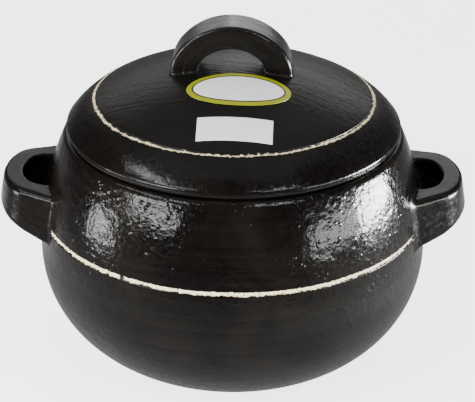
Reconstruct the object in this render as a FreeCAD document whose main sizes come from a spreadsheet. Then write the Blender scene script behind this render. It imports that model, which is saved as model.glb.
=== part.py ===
import FreeCAD, Part
import math
import os
import Sketcher

# A glazed clay rice pot with a domed lid. The pot stands on z = 0 with its axis on Z and its two ears
# along X, and the lid's labels face -Y. Lengths are in millimetres and angles in degrees.

# Each driving size: its name, its value and what it measures.
SIZES = (
    # Pot, thrown on the wheel
    ("belly_radius", 105.0, "widest radius of the pot"),
    ("belly_height", 62.3, "height of the widest level, and radius of the round under it"),
    ("shoulder_arc", 157.0, "radius of the shoulder's profile arc"),
    ("rim_height", 129.0, "height of the rim that the lid sits on"),
    ("pot_wall", 8.5, "wall of the pot, floor included"),
    ("rim_width", 8.6, "width of the rim, from the bore to the outside"),
    ("mouth_depth", 10.0, "depth of the straight bore below the rim"),
    ("mouth_slope", 5.0, "height of the slope from the bore out to the cavity wall"),
    ("rim_roll", 4.0, "rounding of the rim's outer edge"),
    ("rim_bevel", 1.2, "rounding of the rim's inner edge"),
    # Incised lines on the pot and the lid
    ("line_drop", 44.3, "drop from the rim to the line round the pot"),
    ("line_tool", 1.1, "radius of the round tool that cut the lines"),
    ("line_depth", 0.5, "depth of the lines"),
    ("line_to_ear", 0.3, "space between the line's end and the ear's root"),
    ("line_to_edge", 14.8, "distance of the lid's line inside its edge"),
    # Ears, pressed and luted on
    ("ear_stand", 18.8, "how far the ear's tip stands out from the widest radius, at its top"),
    ("ear_drop", 24.2, "drop from the rim to the ear's top at its tip"),
    ("ear_top_slope", 5.3, "slope of the top, rising outward"),
    ("ear_tip_height", 17.5, "height of the ear's wall at its tip"),
    ("ear_under_slope", 23.0, "slope of the underside, rising outward"),
    ("ear_flare", 10.0, "flare of the outer wall, growing downward"),
    ("ear_nose", 45.0, "radius of the outline at the tip"),
    ("ear_corner", 19.0, "radius of the outline's corners"),
    ("ear_corner_side", 10.6, "sideways place of the corners' centres"),
    ("ear_root_in", 7.0, "distance inside the widest radius where the root width is measured"),
    ("ear_root_half", 33.4, "half width of the ear at its root"),
    ("grip_wall", 10.8, "thickness of the ear's wall at its tip"),
    ("grip_nose", 26.0, "radius of the gap's outline at its end"),
    ("grip_corner", 11.0, "radius of the gap's corners"),
    ("grip_corner_side", 6.8, "sideways place of the gap corners' centres"),
    ("grip_root_half", 18.4, "half width of the gap at the root"),
    ("ear_edge", 2.2, "rounding of the ear's edges"),
    ("ear_luting", 3.0, "fillet of clay where the ear joins the pot"),
    # Lid, thrown upside down, its flange hanging in the mouth
    ("lid_overlap", 7.5, "width of the lid's seat, from the mouth to the lid's edge"),
    ("lid_edge", 4.2, "height of the lid's edge"),
    ("dome_rise_ratio", 0.4112, "height of the dome above the seat, in lid radii"),
    ("dome_round_ratio", 1.753, "radius of the dome's profile arc, in lid radii"),
    ("dome_spread_ratio", 0.8034, "radius where the dome bends down to its edge, in lid radii"),
    ("lid_wall", 7.5, "wall of the dome"),
    ("flange_play", 1.0, "clearance between the flange and the mouth"),
    ("flange_depth", 7.0, "depth of the flange below the seat"),
    ("flange_wall", 6.5, "wall of the flange"),
    ("flange_edge", 1.5, "rounding of the flange's lower edges"),
    ("lid_crest", 0.9, "rounding of the lid's upper edge"),
    ("lid_under", 1.3, "rounding of the lid's lower edge"),
    ("vent_bore", 8.0, "diameter of the steam hole"),
    ("vent_edge", 1.2, "rounding of the steam hole's edges"),
    ("vent_behind", 37.0, "distance of the steam hole behind the handle"),
    ("lid_turn", -2.0, "turn of the lid about the axis"),
    # Arched handle on the lid
    ("handle_half", 32.0, "half width of the arch"),
    ("handle_stand", 23.6, "height of the arch's top above the dome"),
    ("handle_leg_rise", 1.1, "height above the dome where the arch springs from its legs"),
    ("handle_corner_ratio", 0.656, "radius of the arch's shoulders, in half widths of the arch"),
    ("handle_leg", 13.9, "width of each leg"),
    ("handle_crown", 12.5, "thickness of the arch at its top"),
    ("handle_depth", 22.0, "depth of the arch from front to back"),
    ("handle_aside", -1.2, "sideways place of the arch"),
    ("handle_gap_corner_ratio", 0.58, "radius of the shoulders under the arch, in half gaps"),
    ("handle_edge", 1.6, "rounding of the arch's edges"),
    ("handle_luting", 2.0, "fillet of clay where the arch joins the dome"),
    # Paper labels stuck on the dome
    ("paper", 0.25, "thickness of the labels"),
    ("glue", 0.05, "layer of glue under the labels"),
    ("oval_half_length", 26.8, "half length of the oval label"),
    ("oval_half_width", 14.3, "half width of the oval label"),
    ("oval_aside", 3.4, "sideways place of the oval label"),
    ("oval_from_handle", 2.8, "space between the handle and the oval label"),
    ("strip_length", 38.0, "length of the label strip"),
    ("strip_width", 14.6, "width of the label strip, seen from above"),
    ("strip_aside", 2.7, "sideways place of the label strip"),
    ("strip_from_bend", 5.5, "distance of the strip from the bend at the dome's edge"),
)

# Each size that follows from the driving ones: its name, its formula and what it measures.
FOLLOWING = (
    ("shoulder_centre", "belly_radius - shoulder_arc", "distance of the shoulder arc's centre"),
    ("rim_radius", "shoulder_centre + sqrt(shoulder_arc ^ 2 - (rim_height - belly_height) ^ 2)",
     "outer radius of the rim before it is rounded"),
    ("mouth_radius", "rim_radius - rim_width", "radius of the bore at the mouth"),
    ("line_height", "rim_height - line_drop", "height of the line round the pot"),
    ("ear_reach", "belly_radius + ear_stand", "distance of the ear's tip from the axis, at its top"),
    ("ear_top", "rim_height - ear_drop", "height of the ear's top at its tip"),
    ("ear_root_x", "belly_radius - ear_root_in", "distance where the root width is measured"),
    ("grip_gap", "ear_reach - grip_wall", "distance of the finger gap's end from the axis"),
    ("lid_radius", "mouth_radius + lid_overlap", "radius of the lid's edge"),
    ("lid_rise", "lid_radius * dome_rise_ratio", "height of the dome above the seat"),
    ("crown_arc", "lid_radius * dome_round_ratio", "radius of the dome's profile arc"),
    ("crown_radius", "lid_radius * dome_spread_ratio", "radius where the dome bends down"),
    ("lid_line_radius", "lid_radius - line_to_edge", "radius of the line round the lid"),
    ("flange_radius", "mouth_radius - flange_play", "outer radius of the flange"),
    ("vent_reach", "handle_depth / 2 + vent_behind", "distance of the steam hole from the axis"),
    ("handle_rise", "lid_rise + handle_stand", "height of the arch's top above the seat"),
    ("handle_spring", "lid_rise - crown_arc + handle_leg_rise"
     " + sqrt(crown_arc ^ 2 - handle_half ^ 2 - (handle_depth / 2) ^ 2)",
     "height above the seat where the arch springs"),
    ("handle_corner", "handle_half * handle_corner_ratio", "radius of the arch's shoulders"),
    ("handle_gap_corner", "(handle_half - handle_leg) * handle_gap_corner_ratio",
     "radius of the shoulders under the arch"),
    ("oval_forward", "handle_depth / 2 + oval_from_handle + oval_half_width",
     "distance of the oval label in front of the axis"),
    ("strip_forward", "crown_radius - strip_from_bend - strip_width / 2",
     "distance of the label strip in front of the axis"),
)

# How far a cutting or buried outline runs past the clay, so that no face is left on its edge
PAST = 12.0

# How near two places are that count as the same
NEAR = 0.02

# Point numbers of a sketch element, and the sketch's own origin and axes
START, END, CENTRE = range(1, 4)
ORIGIN = (-1, 1)
ACROSS_AXIS, UP_AXIS = range(-1, -3, -1)


doc = FreeCAD.newDocument("rice_pot")
sheet = doc.addObject("Spreadsheet::Sheet", "Sizes")
SIZE = {}
for row, (name, value, meaning) in enumerate(SIZES + FOLLOWING, start=1):
    sheet.set("A%d" % row, name)
    sheet.set("B%d" % row, str(value) if isinstance(value, float) else "=" + value)
    sheet.set("C%d" % row, meaning)
    sheet.setAlias("B%d" % row, name)
    doc.recompute()
    SIZE[name] = float(sheet.get(name))


def new_body(label):
    body = doc.addObject("PartDesign::Body", label)
    body.Label = label
    return body


def new_sketch(body, name, plane):
    """A sketch on one of the body's own planes: XY_Plane, XZ_Plane or YZ_Plane."""
    sketch = body.newObject("Sketcher::SketchObject", name)
    for feature in body.Origin.OriginFeatures:
        if feature.Role == plane:
            sketch.AttachmentSupport = [(feature, "")]
    sketch.MapMode = "FlatFace"
    return sketch


def point(across, up):
    return FreeCAD.Vector(across, up, 0)


def arc_between(centre, start, end):
    """Anticlockwise arc about a centre from the direction of one point to that of another."""
    radius = (start - centre).Length
    first = math.atan2(start.y - centre.y, start.x - centre.x)
    last = math.atan2(end.y - centre.y, end.x - centre.x)
    if last < first:
        last += 2 * math.pi
    return Part.ArcOfCircle(Part.Circle(centre, FreeCAD.Vector(0, 0, 1), radius), first, last)


def bind(sketch, name, formula, *constraint):
    """A dimension that follows the sheet."""
    number = sketch.addConstraint(Sketcher.Constraint(*constraint))
    sketch.renameConstraint(number, name)
    sketch.setExpression("Constraints." + name, formula)


def hold(sketch, *constraint):
    """A constraint without a number, such as Coincident, Horizontal or Tangent."""
    sketch.addConstraint(Sketcher.Constraint(*constraint))


def close_chain(sketch, *elements):
    """Joins each element's end to the start of the next, and the last to the first."""
    for number, element in enumerate(elements):
        hold(sketch, "Coincident", element, END, elements[(number + 1) % len(elements)], START)


def revolve(body, kind, name, sketch):
    """A full turn of a sketch about the body's axis, as a Revolution or a Groove."""
    feature = body.newObject("PartDesign::" + kind, name)
    feature.Profile = sketch
    feature.ReferenceAxis = (sketch, ["V_Axis"])
    feature.Angle = 360
    sketch.Visibility = False
    doc.recompute()
    return feature


def round_edges(body, name, radius, chosen):
    """A fillet on each edge of the body's last shape that the test picks."""
    base = body.Tip
    names = ["Edge%d" % number for number, edge in enumerate(base.Shape.Edges, start=1)
             if not edge.Degenerated and chosen(edge)]
    fillet = body.newObject("PartDesign::Fillet", name)
    fillet.Base = (base, names)
    fillet.setExpression("Radius", "Sizes." + radius)
    doc.recompute()
    return fillet


def is_ring(edge, radius, height):
    """True for a full circle about the axis at this radius and height."""
    if not isinstance(edge.Curve, Part.Circle):
        return False
    centre = edge.Curve.Center
    on_axis = math.hypot(centre.x, centre.y) < NEAR
    return on_axis and abs(edge.Curve.Radius - radius) < NEAR and abs(centre.z - height) < NEAR


def buried_x():
    """Where an ear's arms end inside the pot, which the cavity cuts away later."""
    return SIZE["rim_radius"] - 2 * PAST


def d_outline(sketch, reach, nose, corner, corner_side, root_half):
    """A closed D in plan about the X axis: a broad nose, two corners and two slanting arms."""
    tip = SIZE[reach]
    nose_centre = point(tip - SIZE[nose], 0)
    offset = SIZE[nose] - SIZE[corner]
    lean = math.asin(SIZE[corner_side] / offset)
    upper_centre = point(nose_centre.x + offset * math.cos(lean), SIZE[corner_side])
    nose_end = nose_centre + FreeCAD.Vector(math.cos(lean), math.sin(lean), 0) * SIZE[nose]
    # The arm is the tangent from the root point to the corner's circle.
    root = point(SIZE["ear_root_x"], SIZE[root_half])
    to_root = root - upper_centre
    tangent = math.atan2(to_root.y, to_root.x) - math.acos(SIZE[corner] / to_root.Length)
    arm_start = upper_centre + FreeCAD.Vector(math.cos(tangent), math.sin(tangent), 0) * SIZE[corner]
    direction = (root - arm_start).normalize()
    inner_x = buried_x()
    arm_end = arm_start + direction * ((arm_start.x - inner_x) / -direction.x)

    def mirrored(vector):
        return point(vector.x, -vector.y)

    nose_arc = sketch.addGeometry(arc_between(nose_centre, mirrored(nose_end), nose_end))
    upper_corner = sketch.addGeometry(arc_between(upper_centre, nose_end, arm_start))
    upper_arm = sketch.addGeometry(Part.LineSegment(arm_start, arm_end))
    back = sketch.addGeometry(Part.LineSegment(arm_end, mirrored(arm_end)))
    lower_arm = sketch.addGeometry(Part.LineSegment(mirrored(arm_end), mirrored(arm_start)))
    lower_corner = sketch.addGeometry(
        arc_between(mirrored(upper_centre), mirrored(arm_start), mirrored(nose_end)))
    root_mark = sketch.addGeometry(Part.Point(root))
    sketch.setConstruction(root_mark, True)

    hold(sketch, "Tangent", nose_arc, END, upper_corner, START)
    hold(sketch, "Tangent", upper_corner, END, upper_arm, START)
    hold(sketch, "Coincident", upper_arm, END, back, START)
    hold(sketch, "Coincident", back, END, lower_arm, START)
    hold(sketch, "Tangent", lower_arm, END, lower_corner, START)
    hold(sketch, "Tangent", lower_corner, END, nose_arc, START)
    hold(sketch, "PointOnObject", nose_arc, CENTRE, ACROSS_AXIS)
    hold(sketch, "Symmetric", upper_corner, CENTRE, lower_corner, CENTRE, ACROSS_AXIS)
    hold(sketch, "Symmetric", upper_arm, END, lower_arm, START, ACROSS_AXIS)
    hold(sketch, "PointOnObject", root_mark, START, upper_arm)
    bind(sketch, "nose", "Sizes." + nose, "Radius", nose_arc, SIZE[nose])
    bind(sketch, "nose_centre", "Sizes.%s - Sizes.%s" % (reach, nose),
         "DistanceX", *ORIGIN, nose_arc, CENTRE, nose_centre.x)
    bind(sketch, "corner", "Sizes." + corner, "Radius", upper_corner, SIZE[corner])
    bind(sketch, "corner_side", "Sizes." + corner_side,
         "DistanceY", *ORIGIN, upper_corner, CENTRE, SIZE[corner_side])
    bind(sketch, "root_x", "Sizes.ear_root_x", "DistanceX", *ORIGIN, root_mark, START, root.x)
    bind(sketch, "root_half", "Sizes." + root_half, "DistanceY", *ORIGIN, root_mark, START, root.y)
    bind(sketch, "buried", "Sizes.rim_radius - %s" % (2 * PAST),
         "DistanceX", *ORIGIN, upper_arm, END, inner_x)


def trim(sketch, name, at_x, at_z, x_formula, z_formula, slope, side):
    """A closed outline above (side 1) or below (side -1) a sloping line through a given point."""
    slant = math.tan(math.radians(SIZE[slope]))
    near = buried_x() - PAST
    far = SIZE["ear_reach"] + 2 * PAST
    edge_z = at_z + side * 3 * PAST
    corners = (point(near, at_z + (near - at_x) * slant), point(far, at_z + (far - at_x) * slant),
               point(far, edge_z), point(near, edge_z))
    lines = [sketch.addGeometry(Part.LineSegment(corners[number], corners[(number + 1) % 4]))
             for number in range(4)]
    sloping, far_side, level, near_side = lines
    mark = sketch.addGeometry(Part.Point(point(at_x, at_z)))
    sketch.setConstruction(mark, True)
    for number in range(4):
        hold(sketch, "Coincident", lines[number], END, lines[(number + 1) % 4], START)
    hold(sketch, "Vertical", far_side)
    hold(sketch, "Horizontal", level)
    hold(sketch, "Vertical", near_side)
    hold(sketch, "PointOnObject", mark, START, sloping)
    bind(sketch, name + "_x", x_formula, "DistanceX", *ORIGIN, mark, START, at_x)
    bind(sketch, name + "_z", z_formula, "DistanceY", *ORIGIN, mark, START, at_z)
    bind(sketch, name + "_slope", "Sizes.%s * 1 deg" % slope,
         "Angle", sloping, math.radians(SIZE[slope]))
    bind(sketch, name + "_far", "Sizes.ear_reach + %s" % (2 * PAST),
         "DistanceX", *ORIGIN, far_side, END, far)
    bind(sketch, name + "_near", "Sizes.rim_radius - %s" % (3 * PAST),
         "DistanceX", *ORIGIN, near_side, START, near)
    bind(sketch, name + "_edge", "%s + %s" % (z_formula, side * 3 * PAST),
         "DistanceY", *ORIGIN, level, END, edge_z)


def cut_through(body, name, sketch):
    """A pocket through everything, on both sides of its sketch."""
    pocket = body.newObject("PartDesign::Pocket", name)
    pocket.Profile = sketch
    pocket.Type = "ThroughAll"
    pocket.Midplane = True
    sketch.Visibility = False
    doc.recompute()
    return pocket


def pot_radius(height):
    """Outer radius of the thrown pot at a height above its widest level."""
    rise = height - SIZE["belly_height"]
    arc = SIZE["shoulder_arc"]
    return SIZE["belly_radius"] - arc + math.sqrt(arc ** 2 - rise ** 2)


def on_pot(vector):
    """True for a point on the outer face of the thrown pot."""
    radius = math.hypot(vector.x, vector.y)
    if vector.z >= SIZE["belly_height"]:
        return abs(radius - pot_radius(vector.z)) < NEAR
    round_centre = SIZE["belly_radius"] - SIZE["belly_height"]
    reach = math.hypot(radius - round_centre, vector.z - SIZE["belly_height"])
    return abs(reach - SIZE["belly_height"]) < NEAR


def is_ear_root(edge):
    """True for an edge on the pot's face that is neither a ring round it nor its upright seam."""
    points = edge.discretize(6)
    level = max(p.z for p in points) - min(p.z for p in points) < NEAR
    upright = max(abs(p.y) for p in points) < NEAR
    return all(on_pot(p) for p in points) and not level and not upright


def slope_height(across, face):
    """Height of the ear's top or underside at a distance from the axis."""
    if face == "top":
        slant = math.tan(math.radians(SIZE["ear_top_slope"]))
        return SIZE["ear_top"] + (across - SIZE["ear_reach"]) * slant
    low_x = SIZE["ear_reach"] + SIZE["ear_tip_height"] * math.tan(math.radians(SIZE["ear_flare"]))
    low_z = SIZE["ear_top"] - SIZE["ear_tip_height"]
    return low_z + (across - low_x) * math.tan(math.radians(SIZE["ear_under_slope"]))


def make_ears(body):
    """Two D-shaped ears, each a flared pad trimmed to its slopes, with a finger gap through it."""
    outline = new_sketch(body, "EarOutline", "XY_Plane")
    outline.setExpression(".AttachmentOffset.Base.z", "Sizes.ear_top")
    d_outline(outline, "ear_reach", "ear_nose", "ear_corner", "ear_corner_side", "ear_root_half")
    pad = body.newObject("PartDesign::Pad", "EarPad")
    pad.Profile = outline
    pad.Reversed = True
    pad.setExpression(
        "Length", "Sizes.ear_tip_height + (Sizes.ear_reach - Sizes.rim_radius + %s)"
        " * tan(Sizes.ear_under_slope * 1 deg)" % (3 * PAST))
    pad.setExpression("TaperAngle", "Sizes.ear_flare * 1 deg")
    outline.Visibility = False
    doc.recompute()

    slopes = new_sketch(body, "EarSlopes", "XZ_Plane")
    flare = math.tan(math.radians(SIZE["ear_flare"]))
    trim(slopes, "top", SIZE["ear_reach"], SIZE["ear_top"], "Sizes.ear_reach", "Sizes.ear_top",
         "ear_top_slope", 1)
    trim(slopes, "under", SIZE["ear_reach"] + SIZE["ear_tip_height"] * flare,
         SIZE["ear_top"] - SIZE["ear_tip_height"],
         "Sizes.ear_reach + Sizes.ear_tip_height * tan(Sizes.ear_flare * 1 deg)",
         "Sizes.ear_top - Sizes.ear_tip_height", "ear_under_slope", -1)
    cut_through(body, "EarTrim", slopes)

    gap = new_sketch(body, "GripOutline", "XY_Plane")
    d_outline(gap, "grip_gap", "grip_nose", "grip_corner", "grip_corner_side", "grip_root_half")
    cut_through(body, "EarGap", gap)

    def is_sloping_rim(edge):
        """True for an edge of the ear's top or underside, all but the buried ends."""
        points = edge.discretize(4)
        on_top = all(abs(p.z - slope_height(p.x, "top")) < NEAR for p in points)
        on_under = all(abs(p.z - slope_height(p.x, "under")) < NEAR for p in points)
        return (on_top or on_under) and max(p.x for p in points) > buried_x() + NEAR

    round_edges(body, "EarEdges", "ear_edge", is_sloping_rim)
    other = body.newObject("PartDesign::Mirrored", "OtherEar")
    other.TransformMode = "Whole shape"
    for feature in body.Origin.OriginFeatures:
        if feature.Role == "YZ_Plane":
            other.MirrorPlane = (feature, [""])
    body.Tip = other
    doc.recompute()


def turn_pot(body):
    """The thrown pot as a solid: flat base, round belly, long shoulder and level rim."""
    sketch = new_sketch(body, "PotProfile", "XZ_Plane")
    height = SIZE["belly_height"]
    round_centre = point(SIZE["belly_radius"] - height, height)
    shoulder_centre = point(SIZE["shoulder_centre"], height)
    belly = point(SIZE["belly_radius"], height)
    rim = point(pot_radius(SIZE["rim_height"]), SIZE["rim_height"])
    base_edge = point(round_centre.x, 0)
    base = sketch.addGeometry(Part.LineSegment(point(0, 0), base_edge))
    lower = sketch.addGeometry(arc_between(round_centre, base_edge, belly))
    shoulder = sketch.addGeometry(arc_between(shoulder_centre, belly, rim))
    top = sketch.addGeometry(Part.LineSegment(rim, point(0, rim.y)))
    axis = sketch.addGeometry(Part.LineSegment(point(0, rim.y), point(0, 0)))
    hold(sketch, "Coincident", base, START, *ORIGIN)
    close_chain(sketch, base, lower, shoulder, top, axis)
    hold(sketch, "Horizontal", base)
    hold(sketch, "Horizontal", top)
    hold(sketch, "Vertical", axis)
    hold(sketch, "Vertical", lower, CENTRE, lower, START)
    hold(sketch, "Horizontal", lower, CENTRE, lower, END)
    hold(sketch, "Horizontal", shoulder, CENTRE, lower, END)
    bind(sketch, "belly_radius", "Sizes.belly_radius", "DistanceX", *ORIGIN, lower, END, belly.x)
    bind(sketch, "belly_height", "Sizes.belly_height", "DistanceY", *ORIGIN, lower, END, height)
    bind(sketch, "shoulder_arc", "Sizes.shoulder_arc", "Radius", shoulder, SIZE["shoulder_arc"])
    bind(sketch, "rim_height", "Sizes.rim_height", "DistanceY", *ORIGIN, shoulder, END, rim.y)
    revolve(body, "Revolution", "Thrown", sketch)


def hollow_pot(body):
    """The cavity: an even wall, then a slope in to the straight bore of the mouth."""
    sketch = new_sketch(body, "CavityProfile", "XZ_Plane")
    wall = SIZE["pot_wall"]
    height = SIZE["belly_height"]
    round_centre = point(SIZE["belly_radius"] - height, height)
    shoulder_arc = SIZE["shoulder_arc"] - wall
    shoulder_centre = point(SIZE["shoulder_centre"], height)
    bore_foot = point(SIZE["mouth_radius"], SIZE["rim_height"] - SIZE["mouth_depth"])
    slope_z = bore_foot.y - SIZE["mouth_slope"]
    slope_x = shoulder_centre.x + math.sqrt(shoulder_arc ** 2 - (slope_z - height) ** 2)
    slope_foot = point(slope_x, slope_z)
    over = SIZE["rim_height"] + PAST
    floor_edge = point(round_centre.x, wall)
    belly = point(SIZE["belly_radius"] - wall, height)
    floor = sketch.addGeometry(Part.LineSegment(point(0, wall), floor_edge))
    lower = sketch.addGeometry(arc_between(round_centre, floor_edge, belly))
    shoulder = sketch.addGeometry(arc_between(shoulder_centre, belly, slope_foot))
    slope = sketch.addGeometry(Part.LineSegment(slope_foot, bore_foot))
    bore = sketch.addGeometry(Part.LineSegment(bore_foot, point(bore_foot.x, over)))
    top = sketch.addGeometry(Part.LineSegment(point(bore_foot.x, over), point(0, over)))
    axis = sketch.addGeometry(Part.LineSegment(point(0, over), point(0, wall)))
    hold(sketch, "PointOnObject", floor, START, UP_AXIS)
    close_chain(sketch, floor, lower, shoulder, slope, bore, top, axis)
    hold(sketch, "Horizontal", floor)
    hold(sketch, "Vertical", bore)
    hold(sketch, "Horizontal", top)
    hold(sketch, "Vertical", axis)
    hold(sketch, "Vertical", lower, CENTRE, lower, START)
    hold(sketch, "Horizontal", lower, CENTRE, lower, END)
    hold(sketch, "Horizontal", shoulder, CENTRE, lower, END)
    bind(sketch, "floor", "Sizes.pot_wall", "DistanceY", *ORIGIN, floor, START, wall)
    bind(sketch, "belly", "Sizes.belly_radius - Sizes.pot_wall",
         "DistanceX", *ORIGIN, lower, END, belly.x)
    bind(sketch, "belly_height", "Sizes.belly_height", "DistanceY", *ORIGIN, lower, END, height)
    bind(sketch, "shoulder_arc", "Sizes.shoulder_arc - Sizes.pot_wall",
         "Radius", shoulder, shoulder_arc)
    bind(sketch, "slope_foot", "Sizes.rim_height - Sizes.mouth_depth - Sizes.mouth_slope",
         "DistanceY", *ORIGIN, shoulder, END, slope_foot.y)
    bind(sketch, "bore_foot", "Sizes.rim_height - Sizes.mouth_depth",
         "DistanceY", *ORIGIN, bore, START, bore_foot.y)
    bind(sketch, "mouth_radius", "Sizes.mouth_radius", "DistanceX", *ORIGIN, bore, START, bore_foot.x)
    bind(sketch, "over", "Sizes.rim_height + %s" % PAST, "DistanceY", *ORIGIN, top, START, over)
    revolve(body, "Groove", "Cavity", sketch)


def cut_pot_line(body, name, side):
    """The incised line on one half of the pot, from ear to ear; side is -1 in front and 1 behind."""
    sketch = new_sketch(body, name + "Profile", "YZ_Plane")
    tool = SIZE["line_tool"]
    shoulder_x = SIZE["shoulder_centre"]
    rise = SIZE["line_height"] - SIZE["belly_height"]
    across = shoulder_x + math.sqrt((SIZE["shoulder_arc"] + tool - SIZE["line_depth"]) ** 2 - rise ** 2)
    centre = point(side * across, SIZE["line_height"])
    circle = sketch.addGeometry(Part.Circle(centre, FreeCAD.Vector(0, 0, 1), tool))
    formula = ("Sizes.shoulder_centre + sqrt((Sizes.shoulder_arc + Sizes.line_tool"
               " - Sizes.line_depth) ^ 2 - (Sizes.line_height - Sizes.belly_height) ^ 2)")
    bind(sketch, "tool", "Sizes.line_tool", "Radius", circle, tool)
    bind(sketch, "height", "Sizes.line_height", "DistanceY", *ORIGIN, circle, CENTRE, centre.y)
    bind(sketch, "across", ("%s" if side > 0 else "-(%s)") % formula,
         "DistanceX", *ORIGIN, circle, CENTRE, centre.x)
    groove = body.newObject("PartDesign::Groove", name)
    groove.Profile = sketch
    groove.ReferenceAxis = (sketch, ["V_Axis"])
    groove.Midplane = True
    groove.setExpression(
        "Angle", "180 deg - 2 * asin((Sizes.ear_root_half + (Sizes.ear_top - Sizes.line_height)"
        " * tan(Sizes.ear_flare * 1 deg) + Sizes.ear_luting + Sizes.line_to_ear) / Sizes.belly_radius)")
    sketch.Visibility = False
    doc.recompute()


def make_pot():
    body = new_body("pot_body")
    make_ears(body)
    turn_pot(body)
    round_edges(body, "EarLuting", "ear_luting", is_ear_root)
    cut_pot_line(body, "FrontLine", -1)
    cut_pot_line(body, "BackLine", 1)
    hollow_pot(body)
    rim = SIZE["rim_height"]
    round_edges(body, "RimRoll", "rim_roll", lambda edge: is_ring(edge, pot_radius(rim), rim))
    round_edges(body, "RimBevel", "rim_bevel", lambda edge: is_ring(edge, SIZE["mouth_radius"], rim))
    return body


def crown_centre_z():
    """Height above the seat of the centre of the dome's profile arc."""
    return SIZE["lid_rise"] - SIZE["crown_arc"]


def crown_point(radius, offset=0.0):
    """The point of the dome's profile arc, or of one offset from it, at a distance from the axis."""
    arc = SIZE["crown_arc"] + offset
    return point(radius, crown_centre_z() + math.sqrt(arc ** 2 - radius ** 2))


def seat_lid(body):
    """Sets the lid, or what is on it, on the pot's rim, turned a little as it was put down."""
    body.setExpression(".Placement.Base.z", "Sizes.rim_height")
    body.setExpression(".Placement.Rotation.Angle", "Sizes.lid_turn * 1 deg")
    body.Placement = FreeCAD.Placement(
        point(0, 0) + FreeCAD.Vector(0, 0, SIZE["rim_height"]),
        FreeCAD.Rotation(FreeCAD.Vector(0, 0, 1), SIZE["lid_turn"]))


def turn_lid(body):
    """The thrown lid as a solid: dome, incised line, edge, seat and flange."""
    sketch = new_sketch(body, "LidProfile", "XZ_Plane")
    crown_end = crown_point(SIZE["crown_radius"])
    crown_centre = point(0, crown_centre_z())
    edge_top = point(SIZE["lid_radius"], SIZE["lid_edge"])
    # The bend is the arc that leaves the dome in its own direction and ends at the lid's edge.
    outward = (crown_end - crown_centre).normalize()
    reach = edge_top - crown_end
    bend_radius = -reach.dot(reach) / (2 * reach.dot(outward))
    bend_centre = crown_end - outward * bend_radius
    # The line is the mark of a round tool on the bend.
    tool = SIZE["line_tool"]
    half_width = math.sqrt(tool ** 2 - (tool - SIZE["line_depth"]) ** 2)
    tool_offset = math.sqrt(bend_radius ** 2 - half_width ** 2) + tool - SIZE["line_depth"]
    lean = math.asin((SIZE["lid_line_radius"] - bend_centre.x) / tool_offset)
    to_tool = FreeCAD.Vector(math.sin(lean), math.cos(lean), 0)
    along = FreeCAD.Vector(math.cos(lean), -math.sin(lean), 0)
    middle = bend_centre + to_tool * math.sqrt(bend_radius ** 2 - half_width ** 2)
    line_out = middle + along * half_width
    line_in = middle - along * half_width
    tool_centre = bend_centre + to_tool * tool_offset

    flange_radius = SIZE["flange_radius"]
    apex = point(0, SIZE["lid_rise"])
    foot = -SIZE["flange_depth"]
    crown = sketch.addGeometry(arc_between(crown_centre, crown_end, apex))
    inner_bend = sketch.addGeometry(arc_between(bend_centre, line_in, crown_end))
    line = sketch.addGeometry(arc_between(tool_centre, line_in, line_out))
    outer_bend = sketch.addGeometry(arc_between(bend_centre, edge_top, line_out))
    edge = sketch.addGeometry(Part.LineSegment(point(edge_top.x, 0), edge_top))
    seat = sketch.addGeometry(Part.LineSegment(point(flange_radius, 0), point(edge_top.x, 0)))
    flange = sketch.addGeometry(Part.LineSegment(point(flange_radius, foot), point(flange_radius, 0)))
    under = sketch.addGeometry(Part.LineSegment(point(0, foot), point(flange_radius, foot)))
    axis = sketch.addGeometry(Part.LineSegment(apex, point(0, foot)))
    hold(sketch, "PointOnObject", crown, CENTRE, UP_AXIS)
    hold(sketch, "PointOnObject", crown, END, UP_AXIS)
    hold(sketch, "Coincident", crown, END, axis, START)
    hold(sketch, "Coincident", axis, END, under, START)
    hold(sketch, "Coincident", under, END, flange, START)
    hold(sketch, "Coincident", flange, END, seat, START)
    hold(sketch, "Coincident", seat, END, edge, START)
    hold(sketch, "Coincident", edge, END, outer_bend, START)
    hold(sketch, "Coincident", outer_bend, END, line, END)
    hold(sketch, "Coincident", line, START, inner_bend, START)
    hold(sketch, "Tangent", inner_bend, END, crown, START)
    hold(sketch, "Coincident", inner_bend, CENTRE, outer_bend, CENTRE)
    hold(sketch, "Equal", inner_bend, outer_bend)
    hold(sketch, "Vertical", axis)
    hold(sketch, "Horizontal", under)
    hold(sketch, "Vertical", flange)
    hold(sketch, "Horizontal", seat)
    hold(sketch, "Vertical", edge)
    hold(sketch, "PointOnObject", seat, START, ACROSS_AXIS)
    bind(sketch, "crown_arc", "Sizes.crown_arc", "Radius", crown, SIZE["crown_arc"])
    bind(sketch, "lid_rise", "Sizes.lid_rise", "DistanceY", *ORIGIN, crown, END, apex.y)
    bind(sketch, "crown_radius", "Sizes.crown_radius", "DistanceX", *ORIGIN, crown, START, crown_end.x)
    bind(sketch, "lid_radius", "Sizes.lid_radius", "DistanceX", *ORIGIN, edge, START, edge_top.x)
    bind(sketch, "lid_edge", "Sizes.lid_edge", "DistanceY", *ORIGIN, edge, END, edge_top.y)
    bind(sketch, "flange_depth", "-Sizes.flange_depth", "DistanceY", *ORIGIN, under, END, foot)
    bind(sketch, "flange_radius", "Sizes.flange_radius",
         "DistanceX", *ORIGIN, flange, START, flange_radius)
    bind(sketch, "line_tool", "Sizes.line_tool", "Radius", line, tool)
    bind(sketch, "line_width",
         "2 * sqrt(Sizes.line_tool ^ 2 - (Sizes.line_tool - Sizes.line_depth) ^ 2)",
         "Distance", line, START, line, END, 2 * half_width)
    bind(sketch, "lid_line_radius", "Sizes.lid_line_radius",
         "DistanceX", *ORIGIN, line, CENTRE, tool_centre.x)
    revolve(body, "Revolution", "ThrownLid", sketch)


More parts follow.
